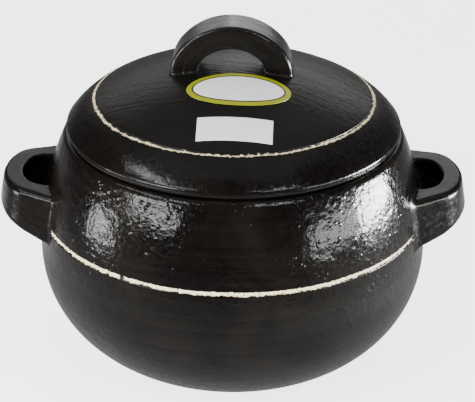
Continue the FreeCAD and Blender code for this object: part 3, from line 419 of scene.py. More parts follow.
def bowl_profile(bowl):
    """The bowl's profile from the middle of its base, up the outside and down the inside."""
    shoulder = shoulder_centre(bowl)
    lower = Vector((bowl.belly_radius - bowl.belly_height, bowl.belly_height))
    line_height = bowl.rim_height - bowl.line_drop
    line_angle = math.asin((line_height - bowl.belly_height) / bowl.shoulder_arc)
    line_low, line, line_high = groove(shoulder, bowl.shoulder_arc, bowl.line_tool, bowl.line_depth,
                                       line_angle, True, LINE_FINE)
    roll_z = bowl.rim_height - bowl.rim_roll
    roll_x = shoulder.x + math.sqrt((bowl.shoulder_arc - bowl.rim_roll) ** 2
                                    - (roll_z - bowl.belly_height) ** 2)
    roll = Vector((roll_x, roll_z))
    roll_angle = angle_of(roll - shoulder)
    mouth = mouth_radius(bowl)
    bevel = Vector((mouth + bowl.rim_bevel, bowl.rim_height - bowl.rim_bevel))
    bore_foot = Vector((mouth, bowl.rim_height - bowl.mouth_depth))
    inner_arc = bowl.shoulder_arc - bowl.wall
    slope_z = bore_foot.y - bowl.mouth_slope
    slope_x = shoulder.x + math.sqrt(inner_arc ** 2 - (slope_z - bowl.belly_height) ** 2)
    slope_foot = Vector((slope_x, slope_z))
    down = -math.pi / 2
    up = math.pi / 2
    return joined(
        run((0, 0), (lower.x, 0), COARSE),
        arc(lower, bowl.belly_height, down, 0, 1.5 * FINE),
        arc(shoulder, bowl.shoulder_arc, 0, line_low, FINE),
        line,
        arc(shoulder, bowl.shoulder_arc, line_high, roll_angle, FINE),
        arc(roll, bowl.rim_roll, roll_angle, up, FINE),
        run((roll.x, bowl.rim_height), (bevel.x, bowl.rim_height), COARSE),
        arc(bevel, bowl.rim_bevel, up, math.pi, FINE),
        run((mouth, bevel.y), bore_foot, COARSE),
        run(bore_foot, slope_foot, COARSE),
        arc(shoulder, inner_arc, angle_of(slope_foot - shoulder), 0, COARSE),
        arc(lower, bowl.belly_height - bowl.wall, 0, down, COARSE),
        run((lower.x, bowl.wall), (0, bowl.wall), COARSE))


class POT_OT_bowl(bpy.types.Operator):
    """Throws the bowl, with its wall, rim, mouth and incised line"""
    bl_idname = "rice_pot.bowl"
    bl_label = "Bowl"

    def execute(self, context):
        bowl = context.scene.rice_bowl
        clay = thrown(bowl_profile(bowl), bowl.steps)
        line_height = bowl.rim_height - bowl.line_drop
        centre = shoulder_centre(bowl)

        def on_outside(spot):
            return abs(bowl_height_over(bowl, spot)) < bowl.line_depth + TINY and spot.z > TINY

        for vert in clay.verts:
            # The line ends at the ears' roots.
            if abs(vert.co.z - line_height) < 2 * bowl.line_tool and abs(vert.co.y) < bowl.line_end \
                    and on_outside(vert.co):
                across = Vector((vert.co.x, vert.co.y, 0)).normalized()
                out = Vector((math.hypot(vert.co.x, vert.co.y), vert.co.z)) - centre
                out = centre + out.normalized() * bowl.shoulder_arc
                vert.co = across * out.x + Vector((0, 0, out.y))
        clay.normal_update()
        for vert in [vert for vert in clay.verts if on_outside(vert.co)]:
            spot = vert.co
            vert.co = spot - vert.normal * (BOWL_RINGS * waves(spot, (9, 9, 260))
                                            + BOWL_SWELL * waves(spot, (16, 16, 22)))
        set_piece("thrown_bowl", clay, bowl_glaze(), "pot_body")
        return {"FINISHED"}


def d_half(reach, nose, corner, corner_side, root, end_x):
    """Half of a D outline, from the middle of its nose to the end of its arm: points and normals."""
    nose_centre = Vector((reach - nose, 0))
    lean = math.asin(corner_side / (nose - corner))
    centre = nose_centre + heading(lean) * (nose - corner)
    to_root = root - centre
    tangent = angle_of(to_root) - math.acos(corner / to_root.length)
    arm = centre + heading(tangent) * corner
    along = (root - arm).normalized()
    arm_end = arm + along * ((end_x - arm.x) / along.x)
    on_nose, on_corner, on_arm = EAR_COUNTS
    path = []
    for step in range(on_nose):
        out = heading(lean * step / on_nose)
        path.append((nose_centre + out * nose, out))
    for step in range(on_corner):
        out = heading(lean + (tangent - lean) * step / on_corner)
        path.append((centre + out * corner, out))
    out = heading(tangent)
    for step in range(on_arm + 1):
        path.append((arm.lerp(arm_end, step / on_arm), out))
    return path


def make_ear(bowl, ear, side):
    """One ear on the side +1 or -1: a D-shaped strap with sloping top and underside, luted on."""
    root_x = bowl.belly_radius - ear.root_in
    outer = mirrored_path(d_half(ear.reach, ear.nose, ear.corner, ear.corner_side,
                                 Vector((root_x, ear.root_half)), OUTER_ARM_END))
    inner = mirrored_path(d_half(ear.reach - ear.grip_wall, ear.grip_nose, ear.grip_corner,
                                 ear.grip_corner_side, Vector((root_x, ear.grip_root_half)),
                                 INNER_ARM_END))
    top = bowl.rim_height - ear.top_drop
    low = top - ear.tip_height
    low_x = ear.reach + ear.tip_height * math.tan(ear.flare)

    def top_at(across):
        return top + (across - ear.reach) * math.tan(ear.top_slope)

    def under_at(across):
        return low + (across - low_x) * math.tan(ear.under_slope)

    rings = []
    for (out_spot, out_way), (in_spot, in_way) in zip(outer, inner):
        across = out_spot - in_spot
        width = across.length
        across.normalize()
        out_top = top_at(out_spot.x)
        foot = out_spot + out_way * ((top - under_at(out_spot.x)) * math.tan(ear.flare))
        out_low = under_at(foot.x)
        corners = (
            Vector((0, top_at(in_spot.x))),
            Vector((0, under_at(in_spot.x))),
            Vector((width + (top - out_low) * math.tan(ear.flare), out_low)),
            Vector((width + (top - out_top) * math.tan(ear.flare), out_top)),
        )
        ring = []
        for spot in rounded(corners, (ear.edge, ear.edge, ear.edge, ear.brow), ON_SIDE, ON_EAR_CORNER):
            flat = in_spot + across * spot.x
            ring.append(Vector((side * flat.x, flat.y, spot.y)))
        rings.append(ring)
    clay = strap(rings)
    luting = ear.luting if side > 0 else ear.left_luting
    lute(clay, luting, lambda spot: bowl_height_over(bowl, spot))
    for vert in clay.verts:
        # The buried end stays inside the bowl's wall.
        deep = -bowl_height_over(bowl, vert.co) - EAR_BURIED * bowl.wall
        if deep > 0:
            vert.co += Vector((vert.co.x, vert.co.y, 0)).normalized() * deep
    clay.normal_update()
    sink(clay, (55, 55, 70), EAR_PRESS)
    sink(clay, (260, 90, 260), EAR_MARKS)
    return clay


class POT_OT_ears(bpy.types.Operator):
    """Shapes both ears and lutes them to the bowl's shoulder"""
    bl_idname = "rice_pot.ears"
    bl_label = "Ears"

    def execute(self, context):
        bowl = context.scene.rice_bowl
        ear = context.scene.rice_ears
        glaze = ear_glaze()
        for name, side in (("right_ear", 1), ("left_ear", -1)):
            set_piece(name, make_ear(bowl, ear, side), glaze, "pot_body")
        return {"FINISHED"}


class Dome:
    """The lid's measures that follow from its sizes, above the seat and before its turn."""

    def __init__(self, bowl, lid):
        self.mouth = mouth_radius(bowl)
        self.radius = self.mouth + lid.overlap
        self.rise = self.radius * lid.rise
        self.arc = self.radius * lid.round
        self.centre = Vector((0, self.rise - self.arc))
        reach = self.radius * lid.spread
        self.bend_start = Vector((reach, self.centre.y + math.sqrt(self.arc ** 2 - reach ** 2)))
        outward = (self.bend_start - self.centre).normalized()
        edge = Vector((self.radius, lid.edge)) - self.bend_start
        self.bend = -edge.dot(edge) / (2 * edge.dot(outward))
        self.bend_centre = self.bend_start - outward * self.bend

    def height_over(self, spot):
        """Distance of a point outside the dome's outer face."""
        return math.hypot(math.hypot(spot.x, spot.y), spot.z - self.centre.y) - self.arc


def eased(before, corner, after):
    """A corner of a profile, rounded between the points before and after it."""
    before, corner, after = Vector(before), Vector(corner), Vector(after)
    steps = 6
    return [before.lerp(corner, step / steps).lerp(corner.lerp(after, step / steps), step / steps)
            for step in range(steps + 1)]


def lid_edge(dome, lid):
    """The lid's edge from the crest down: a lit facet, a turned mark and the band under it."""
    high = lid.edge * lid.facet_foot
    mark = lid.edge * lid.mark_place
    low = 2 * mark - high
    across = Vector((-math.sin(lid.facet_lean), math.cos(lid.facet_lean)))
    start = Vector((dome.radius, high))
    # Where the facet meets the bend: the far crossing of a line and a circle
    apart = start - dome.bend_centre
    half = apart.dot(across)
    along = -half + math.sqrt(half ** 2 - apart.dot(apart) + dome.bend ** 2)
    crest = start + across * along
    reach = angle_of(crest - dome.bend_centre) + lid.crest / dome.bend
    above = dome.bend_centre + heading(reach) * dome.bend
    below = crest - across * lid.crest
    foot = start + across * 0.3 * lid.crest
    outward = Vector((across.y, -across.x))
    bulge = outward * ((below - foot).length / 2 * math.tan(lid.facet_curve / 2))
    pit = Vector((dome.radius - lid.mark_depth, mark))
    return reach, joined(
        eased(above, crest, below),
        eased(below, (below + foot) / 2 + bulge, foot),
        eased(foot, start, start.lerp(pit, 0.4)),
        eased(start.lerp(pit, 0.4), pit, Vector((dome.radius, low)).lerp(pit, 0.4)),
        eased(Vector((dome.radius, low)).lerp(pit, 0.4), (dome.radius, low),
              (dome.radius, low - 0.3 * lid.crest)),
        run((dome.radius, low - 0.3 * lid.crest), (dome.radius, lid.under), LINE_FINE))


def lid_profile(bowl, lid):
    """The lid's profile from the top of its dome to the edge and back to the middle of its underside."""
    dome = Dome(bowl, lid)
    up = math.pi / 2
    offset = dome.bend + (bowl.line_tool - bowl.line_depth)
    line_angle = math.acos((dome.radius - lid.line_to_edge - dome.bend_centre.x) / offset)
    line_in, line, line_out = groove(dome.bend_centre, dome.bend, bowl.line_tool, bowl.line_depth,
                                     line_angle, False, LINE_FINE)
    edge_angle, edge_profile = lid_edge(dome, lid)
    flange = dome.mouth - lid.play
    inside = flange - lid.flange_wall
    inner_arc = dome.arc - lid.wall
    corner = Vector((inside, dome.centre.y + math.sqrt(inner_arc ** 2 - inside ** 2)))
    edge = lid.flange_edge
    foot = -lid.flange_depth
    return joined(
        arc(dome.centre, dome.arc, up, angle_of(dome.bend_start - dome.centre), FINE),
        arc(dome.bend_centre, dome.bend, angle_of(dome.bend_start - dome.bend_centre), line_in, FINE),
        line,
        arc(dome.bend_centre, dome.bend, line_out, edge_angle, FINE),
        edge_profile,
        arc((dome.radius - lid.under, lid.under), lid.under, 0, -up, LINE_FINE),
        run((dome.radius - lid.under, 0), (flange, 0), COARSE),
        run((flange, 0), (flange, foot + edge), COARSE),
        arc((flange - edge, foot + edge), edge, 0, -up, FINE),
        run((flange - edge, foot), (inside + edge, foot), COARSE),
        arc((inside + edge, foot + edge), edge, -up, -math.pi, FINE),
        run((inside, foot + edge), corner, COARSE),
        arc(dome.centre, inner_arc, angle_of(corner - dome.centre), up, COARSE))


def lid_place(bowl, lid):
    """Where the lid rests: on the rim, turned a little."""
    return Matrix.Translation((0, 0, bowl.rim_height)) @ Matrix.Rotation(lid.turn, 4, "Z")


def vent_cutter(bowl, lid):
    """What pierces the steam hole: a pin that widens at the dome's two faces, for rounded edges."""
    dome = Dome(bowl, lid)
    bore = lid.vent_bore / 2
    outer = dome.centre.y + math.sqrt(dome.arc ** 2 - lid.vent_reach ** 2)
    inner = dome.centre.y + math.sqrt((dome.arc - lid.wall) ** 2 - lid.vent_reach ** 2)
    edge = lid.vent_edge
    up = math.pi / 2
    profile = joined(
        run((0, inner - 3 * edge), (bore + edge, inner - 3 * edge), COARSE),
        run((bore + edge, inner - 3 * edge), (bore + edge, inner), COARSE),
        arc((bore + edge, inner + edge), edge, -up, -math.pi, LINE_FINE),
        arc((bore + edge, outer - edge), edge, math.pi, up, LINE_FINE),
        run((bore + edge, outer), (bore + edge, outer + 3 * edge), COARSE),
        run((bore + edge, outer + 3 * edge), (0, outer + 3 * edge), COARSE))
    pin = thrown(profile, 48)
    bmesh.ops.translate(pin, verts=pin.verts, vec=(0, lid.vent_reach, 0))
    return pin


def pierced(clay, pin):
    """The clay with the pin's hole through it."""
    objects = []
    for name, form in (("clay", clay), ("pin", pin)):
        mesh = bpy.data.meshes.new(name)
        form.to_mesh(mesh)
        form.free()
        objects.append(bpy.data.objects.new(name, mesh))
        bpy.context.scene.collection.objects.link(objects[-1])
    body, cutter = objects
    cut = body.modifiers.new("hole", "BOOLEAN")
    cut.operation = "DIFFERENCE"
    cut.solver = "EXACT"
    cut.object = cutter
    seen = body.evaluated_get(bpy.context.evaluated_depsgraph_get())
    result = bmesh.new()
    result.from_mesh(seen.to_mesh())
    seen.to_mesh_clear()
    for used in objects:
        mesh = used.data
        bpy.data.objects.remove(used)
        bpy.data.meshes.remove(mesh)
    if not result.faces:
        raise RuntimeError("The steam hole could not be cut")
    return result


class POT_OT_lid(bpy.types.Operator):
    """Throws the lid, with its dome, incised line, edge, flange and steam hole"""
    bl_idname = "rice_pot.lid"
    bl_label = "Lid"

    def execute(self, context):
        bowl = context.scene.rice_bowl
        lid = context.scene.rice_lid
        dome = Dome(bowl, lid)
        clay = thrown(lid_profile(bowl, lid), lid.steps)
        for vert in clay.verts:
            spot = vert.co
            if spot.z > lid.edge and vert.normal.z > FACING_UP \
                    and dome.height_over(spot) > -OUTER_SHARE * lid.wall:
                vert.co = spot - vert.normal * (LID_RINGS * waves(spot, (200, 22, 9))
                                                + LID_SWELL * waves(spot, (20, 20, 20), 3))
        clay.normal_update()
        clay = pierced(clay, vent_cutter(bowl, lid))
        clay.transform(lid_place(bowl, lid))
        set_piece("thrown_lid", clay, lid_glaze(), "lid")
        return {"FINISHED"}


def arch_half(half, spring, top, corner, foot):
    """Half of a three-centred arch, from the middle of its crown to the foot of its leg."""
    rise = top - spring
    inset = half - corner
    crown = (rise ** 2 + inset ** 2 - corner ** 2) / (2 * (rise - corner))
    crown_centre = Vector((top - crown, 0))
    corner_centre = Vector((spring, inset))
    lean = angle_of(corner_centre - crown_centre)
    on_crown, on_corner, on_leg = ARCH_COUNTS
    path = []
    for step in range(on_crown):
        out = heading(lean * step / on_crown)
        path.append((crown_centre + out * crown, out))
    for step in range(on_corner):
        out = heading(lean + (math.pi / 2 - lean) * step / on_corner)
        path.append((corner_centre + out * corner, out))
    for step in range(on_leg + 1):
        path.append((Vector((spring, half)).lerp(Vector((foot, half)), step / on_leg), Vector((0, 1))))
    return path


class POT_OT_handle(bpy.types.Operator):
    """Bends the arched handle and lutes it to the lid"""
    bl_idname = "rice_pot.handle"
    bl_label = "Handle"

    def execute(self, context):
        bowl = context.scene.rice_bowl
        lid = context.scene.rice_lid
        handle = context.scene.rice_handle
        dome = Dome(bowl, lid)
        spring = dome.centre.y + handle.leg_rise + math.sqrt(
            dome.arc ** 2 - handle.half ** 2 - (handle.depth / 2) ** 2)
        top = dome.rise + handle.stand
        gap = handle.half - handle.leg
        foot = dome.rise - ARCH_BURIED * lid.wall
        outer = mirrored_path(arch_half(handle.half, spring, top, handle.half * handle.corner, foot))
        inner = mirrored_path(arch_half(gap, spring, top - handle.crown, gap * handle.gap_corner, foot))
        rings = []
        for (out_spot, _), (in_spot, _) in zip(outer, inner):
            across = out_spot - in_spot
            width = across.length
            across.normalize()
            half_depth = handle.depth / 2
            corners = (Vector((0, half_depth)), Vector((0, -half_depth)),
                       Vector((width, -half_depth)), Vector((width, half_depth)))
            ring = []
            radii = (handle.edge, handle.edge, handle.brow, handle.brow)
            for spot in rounded(corners, radii, ON_SIDE, ON_ARCH_CORNER):
                flat = in_spot + across * spot.x
                ring.append(Vector((flat.y + handle.aside, spot.y, flat.x)))
            rings.append(ring)
        clay = strap(rings)
        lute(clay, handle.luting, dome.height_over)
        sink(clay, (60, 60, 60), ARCH_PRESS)
        clay.transform(lid_place(bowl, lid))
        set_piece("arched_handle", clay, handle_glaze(), "lid")
        return {"FINISHED"}


def feed(tree, node, inputs):
    """Sets a node's inputs; each is a value or the socket that feeds it."""
    for socket, value in inputs.items():
        if isinstance(value, bpy.types.NodeSocket):
            tree.links.new(value, node.inputs[socket])
        else:
            node.inputs[socket].default_value = value


def put(tree, kind, inputs=None, **settings):
    """A node with its settings and inputs."""
    made = tree.nodes.new(kind)
    for name, value in settings.items():
        setattr(made, name, value)
    feed(tree, made, inputs or {})
    return made


def parts_of(tree, place):
    return put(tree, "ShaderNodeSeparateXYZ", {0: place}).outputs


def length_of(tree, vector):
    return put(tree, "ShaderNodeVectorMath", {0: vector}, operation="LENGTH").outputs["Value"]


def flat_length(tree, x, y):
    return length_of(tree, put(tree, "ShaderNodeCombineXYZ", {"X": x, "Y": y}).outputs[0])


def maths(tree, operation, *values, clamp=False):
    return put(tree, "ShaderNodeMath", dict(enumerate(values)), operation=operation,
               use_clamp=clamp).outputs[0]


def spread(tree, value, low, high, to_low=0.0, to_high=1.0, smooth=False):
    """The value's range from low to high, drawn out from to_low to to_high."""
    return put(tree, "ShaderNodeMapRange",
               {"Value": value, "From Min": low, "From Max": high, "To Min": to_low, "To Max": to_high},
               interpolation_type="SMOOTHSTEP" if smooth else "LINEAR").outputs["Result"]


# Numbers of the colour sockets on a Mix node
MIX_A, MIX_B, MIX_RESULT = 6, 7, 2


def blend(tree, factor, first, second, way="MIX"):
    return put(tree, "ShaderNodeMix", {0: factor, MIX_A: first, MIX_B: second},
               data_type="RGBA", blend_type=way).outputs[MIX_RESULT]


def grain_noise(tree, vector, scale, detail=2.0, roughness=0.5, distortion=0.0, stretch=None):
    """Noise with a number of waves to the metre, stretched where a stretch is given."""
    if stretch is not None:
        vector = put(tree, "ShaderNodeMapping", {"Vector": vector, "Scale": stretch}).outputs["Vector"]
    return put(tree, "ShaderNodeTexNoise",
               {"Vector": vector, "Scale": scale, "Detail": detail, "Roughness": roughness,
                "Distortion": distortion}).outputs["Fac"]


def new_group(name, inputs, outputs):
    """A node group with named float or vector inputs and float outputs."""
    group = bpy.data.node_groups.new(name, "ShaderNodeTree")
    for label, kind, default in inputs:
        socket = group.interface.new_socket(label, in_out="INPUT", socket_type=kind)
        if default is not None:
            socket.default_value = default
    for label in outputs:
        group.interface.new_socket(label, in_out="OUTPUT", socket_type="NodeSocketFloat")
    start = group.nodes.new("NodeGroupInput")
    end = group.nodes.new("NodeGroupOutput")
    return group, start, end


def thrown_glaze_group():
    """Unevenness of a poured glaze on thrown clay: its height, its thin places and its dull places."""
    name = "Thrown glaze"
    if name in bpy.data.node_groups:
        return bpy.data.node_groups[name]
    vector = "NodeSocketVector"
    number = "NodeSocketFloat"
    group, start, end = new_group(
        name,
        [("Vector", vector, None), ("Peel", number, 1.0), ("Grit", number, 0.5), ("Rings", number, 0.5)],
        ["Height", "Thin", "Dull"])
    place = start.outputs["Vector"]
    peel = grain_noise(group, place, 330, 2.0, 0.55)
    wave = grain_noise(group, place, 110, 1.0, 0.5)
    grit = put(group, "ShaderNodeTexVoronoi", {"Vector": place, "Scale": 300.0}).outputs["Distance"]
    grit = spread(group, grit, 0.0, 0.45, 1.0, 0.0, True)
    picked = spread(group, grain_noise(group, place, 90, 1.0), 0.48, 0.62)
    grit = maths(group, "MULTIPLY", grit, picked)
    rings = grain_noise(group, place, 1.0, 2.0, 0.6, stretch=(14, 14, 420))
    height = maths(group, "MULTIPLY", peel, start.outputs["Peel"])
    for marks, amount in ((wave, "Peel"), (grit, "Grit"), (rings, "Rings")):
        height = maths(group, "ADD", height, maths(group, "MULTIPLY", marks, start.outputs[amount]))
    blotch = grain_noise(group, place, 26, 4.0, 0.6, 0.4)
    thin = spread(group, maths(group, "ADD", maths(group, "MULTIPLY", blotch, 0.7),
                               maths(group, "MULTIPLY", rings, 0.3)), 0.42, 0.68)
    dull = spread(group, grain_noise(group, place, 520, 3.0, 0.7), 0.35, 0.7)
    for label, value in (("Height", height), ("Thin", thin), ("Dull", dull)):
        group.links.new(value, end.inputs[label])
    return group


def pale_line_group():
    """Where pale slip shows in an incised line, with ragged edges and specks of glaze."""
    name = "Pale line"
    if name in bpy.data.node_groups:
        return bpy.data.node_groups[name]
    number = "NodeSocketFloat"
    group, start, end = new_group(
        name,
        [("Vector", "NodeSocketVector", None), ("Offset", number, 0.0), ("Half Width", number, 0.0008)],
        ["Mask"])
    place = start.outputs["Vector"]
    ragged = maths(group, "SUBTRACT", grain_noise(group, place, 480, 4.0, 0.7), 0.5)
    wander = maths(group, "SUBTRACT", grain_noise(group, place, 45, 1.0), 0.5)
    offset = maths(group, "ADD", start.outputs["Offset"], maths(group, "MULTIPLY", wander, 0.0008))
    apart = maths(group, "ABSOLUTE", offset)
    apart = maths(group, "ADD", apart, maths(group, "MULTIPLY", ragged, 0.0031))
    inside = maths(group, "SUBTRACT", start.outputs["Half Width"], apart)
    mask = spread(group, inside, -0.00010, 0.00014, smooth=True)
    specks = spread(group, grain_noise(group, place, 900, 2.0), 0.56, 0.66, 1.0, 0.15)
    group.links.new(maths(group, "MULTIPLY", mask, specks), end.inputs["Mask"])
    return group


def new_material(name):
    material = bpy.data.materials.new(name)
    material.use_nodes = True
    tree = material.node_tree
    tree.nodes.clear()
    output = tree.nodes.new("ShaderNodeOutputMaterial")
    shader = tree.nodes.new("ShaderNodeBsdfPrincipled")
    tree.links.new(shader.outputs["BSDF"], output.inputs["Surface"])
    return material, tree, shader


# Roughness of the thicker glaze where a coat is given
COAT_ROUGHNESS = 0.28


def glaze(name, peel, grit, rings, gloss, satin, relief, specular, shine_mask=None,
          line_offset=None, streaks=None, depth=2.2, calm=1.0, coat=None):
    """A dark glaze over thrown clay, with what the piece needs of gloss, streaks and a pale line."""
    look = bpy.context.scene.rice_glaze
    material, tree, shader = new_material(name)
    place = put(tree, "ShaderNodeTexCoord").outputs["Object"]
    skin = put(tree, "ShaderNodeGroup", {"Vector": place, "Peel": peel, "Grit": grit, "Rings": rings},
               node_tree=thrown_glaze_group())
    height = skin.outputs["Height"]
    thin = skin.outputs["Thin"]
    if streaks is not None:
        marks = streaks(tree, place)
        height = maths(tree, "ADD", height, maths(tree, "MULTIPLY", marks, depth))
        thin = maths(tree, "ADD", maths(tree, "MULTIPLY", thin, 0.5),
                     spread(tree, marks, 0.35, 0.75, 0.0, 0.6))
    base = blend(tree, thin, tuple(look.dark), tuple(look.worn))
    shine = 1.0 if shine_mask is None else shine_mask(tree, place)
    if shine_mask is not None:
        height = maths(tree, "MULTIPLY", height, spread(tree, shine, 0.0, 1.0, calm, 1.0))
    rough = put(tree, "ShaderNodeMix", {0: shine, 2: satin, 3: gloss}, data_type="FLOAT").outputs[0]
    rough = maths(tree, "ADD", rough, spread(tree, skin.outputs["Dull"], 0.0, 1.0, -0.05, 0.10))
    if line_offset is not None:
        offset, ends, half_width = line_offset(tree, place)
        line = put(tree, "ShaderNodeGroup", {"Vector": place, "Offset": offset, "Half Width": half_width},
                   node_tree=pale_line_group())
        mask = maths(tree, "MULTIPLY", line.outputs["Mask"], ends)
        base = blend(tree, mask, base, tuple(look.pale))
        rough = maths(tree, "ADD", rough, maths(tree, "MULTIPLY", mask, 0.5), clamp=True)
    bump = put(tree, "ShaderNodeBump", {"Height": height, "Strength": 1.0, "Distance": relief})
    feed(tree, shader, {"Base Color": base, "Roughness": rough, "Normal": bump.outputs["Normal"],
                        "Specular IOR Level": specular})
    if coat is not None:
        feed(tree, shader, {"Coat Weight": coat(tree, place), "Coat Roughness": COAT_ROUGHNESS})
    return material


def bowl_glaze():
    bowl = bpy.context.scene.rice_bowl
    look = bpy.context.scene.rice_glaze
    line_height = bowl.rim_height - bowl.line_drop

    def above_line(tree, place):
        height = parts_of(tree, place)["Z"]
        return spread(tree, height, line_height - 0.026, line_height + 0.002, smooth=True)

    def off_line(tree, place):
        parts = parts_of(tree, place)
        offset = maths(tree, "SUBTRACT", parts["Z"], line_height)
        beside = maths(tree, "ABSOLUTE", parts["Y"])
        ends = spread(tree, beside, bowl.line_end + 0.0018, bowl.line_end + 0.0030, smooth=True)
        reach = shoulder_centre(bowl).x + math.sqrt(
            bowl.shoulder_arc ** 2 - (line_height - bowl.belly_height) ** 2)
        nick = (reach * math.cos(look.nick_turn), reach * math.sin(look.nick_turn), line_height)
        away = put(tree, "ShaderNodeVectorMath", {0: place, 1: nick}, operation="DISTANCE").outputs["Value"]
        whole = spread(tree, away, look.nick, 2 * look.nick, smooth=True)
        return offset, maths(tree, "MULTIPLY", ends, whole), look.bowl_line

    return glaze("bowl_glaze", peel=1.0, grit=0.9, rings=0.14, gloss=0.15, satin=0.38, relief=0.00023,
                 specular=0.12, shine_mask=above_line, line_offset=off_line, calm=0.55)


def lid_glaze():
    bowl = bpy.context.scene.rice_bowl
    lid = bpy.context.scene.rice_lid
    dome = Dome(bowl, lid)

    def off_line(tree, place):
        parts = parts_of(tree, place)
        across = flat_length(tree, parts["X"], parts["Y"])
        above = spread(tree, parts["Z"], bowl.rim_height + 0.001, bowl.rim_height + 0.002)
        offset = maths(tree, "SUBTRACT", across, dome.radius - lid.line_to_edge)
        return offset, above, bpy.context.scene.rice_glaze.lid_line

    def near_edge(tree, place):
        parts = parts_of(tree, place)
        across = flat_length(tree, parts["X"], parts["Y"])
        return spread(tree, across, dome.radius - 0.0130, dome.radius - 0.0015, smooth=True)

    def wiped(tree, place):
        bent = put(tree, "ShaderNodeMapping", {"Vector": place, "Rotation": (0, 0, math.radians(12))})
        strokes = grain_noise(tree, bent.outputs["Vector"], 1.0, 3.0, 0.6, 1.0, stretch=(24, 190, 40))
        parts = parts_of(tree, place)
        behind = spread(tree, parts["Y"], -0.050, -0.010, 0.15, 1.0, smooth=True)
        return maths(tree, "MULTIPLY", strokes, behind)

    return glaze("lid_glaze", peel=0.9, grit=0.4, rings=0.1, gloss=0.16, satin=0.33, relief=0.00016,
                 specular=0.14, shine_mask=near_edge, line_offset=off_line, streaks=wiped, depth=3.0)


def along_strap(tree):
    return put(tree, "ShaderNodeUVMap", uv_map="Grain").outputs["UV"]


def ear_marks(tree, place):
    return grain_noise(tree, along_strap(tree), 1.0, 2.0, 0.5, 0.9, stretch=(34, 150, 1))


def handle_marks(tree, place):
    return grain_noise(tree, along_strap(tree), 1.0, 3.0, 0.6, 1.2, stretch=(26, 150, 1))


def handle_glaze():
    half_depth = bpy.context.scene.rice_handle.depth / 2

    def between_faces(tree, place):
        """The glaze is thicker on the arch's broad upper side than on its front and back."""
        aside = maths(tree, "ABSOLUTE", parts_of(tree, place)["Y"])
        return spread(tree, aside, half_depth - 0.0022, half_depth - 0.0008, 0.50, 0.0, True)

    return glaze("handle_glaze", peel=0.15, grit=0.1, rings=0.0, gloss=0.22, satin=0.22, relief=0.00014,
                 specular=0.17, streaks=handle_marks, depth=5.0, coat=between_faces)


def ear_glaze():
    return glaze("ear_glaze", peel=0.35, grit=0.2, rings=0.0, gloss=0.20, satin=0.20, relief=0.00016,
                 specular=0.12, streaks=ear_marks)


def paper(name, tint, roughness):
    """Coated paper: a tint with a little unevenness and soft fibres."""
    material, tree, shader = new_material(name)
    place = put(tree, "ShaderNodeTexCoord").outputs["Object"]
    shade = spread(tree, grain_noise(tree, place, 300, 3.0), 0.3, 0.7, 0.93, 1.0)
    tinted = blend(tree, 1.0, tint(tree, place), put(tree, "ShaderNodeCombineColor", {
        "Red": shade, "Green": shade, "Blue": shade}).outputs[0], "MULTIPLY")
    fibres = grain_noise(tree, place, 1800, 3.0, 0.7)
    bump = put(tree, "ShaderNodeBump", {"Height": fibres, "Distance": 0.00002})
    rough = spread(tree, fibres, 0.3, 0.7, roughness - 0.05, roughness + 0.05)
    feed(tree, shader, {"Base Color": tinted, "Normal": bump.outputs["Normal"], "Roughness": rough})
    return material


class POT_OT_labels(bpy.types.Operator):
    """Prints the two paper labels"""
    bl_idname = "rice_pot.labels"
    bl_label = "Labels"

    def execute(self, context):
        look = context.scene.rice_labels
        lid = context.scene.rice_lid

        def printed(tree, place):
            straight = put(tree, "ShaderNodeMapping", {"Vector": place, "Rotation": (0, 0, -lid.turn)})
            parts = parts_of(tree, straight.outputs["Vector"])
            along = maths(tree, "SUBTRACT", parts["X"], look.oval_aside)
            across = maths(tree, "ADD", parts["Y"], look.oval_forward)

            def beyond(grow):
                x = maths(tree, "DIVIDE", along, look.field_length + grow)
                y = maths(tree, "DIVIDE", across, look.field_width + grow)
                return spread(tree, flat_length(tree, x, y), 0.994, 1.006)

            inked = blend(tree, beyond(0.0), tuple(look.paper), tuple(look.outline))
            return blend(tree, beyond(look.outline_width), inked, tuple(look.border))

        papers = {"oval_label": paper("green_paper", printed, 0.35),
                  "strip_label": paper("white_paper", lambda tree, place: tuple(look.paper), 0.4)}
        for name, material in papers.items():
            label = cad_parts[name]
            if not label.material_slots:
                raise RuntimeError("%s has no material slot" % name)
            for slot in label.material_slots:
                slot.material = material
        return {"FINISHED"}


# Distances from the axis between which the painted shade of the floor in the glaze's reflections goes from
# near to far
NEAR_FLOOR, FAR_FLOOR = 0.22, 0.50

# Share of its own light that the floor has in the glaze's reflections, painted dimmer than the camera sees
# it
GLOW_IN_GLAZE = 0.2

WORLD_STRENGTH = 0.12

# The camera's focal length and sensor width, in millimetres
FOCAL_LENGTH, SENSOR_WIDTH = 124.67, 36.0


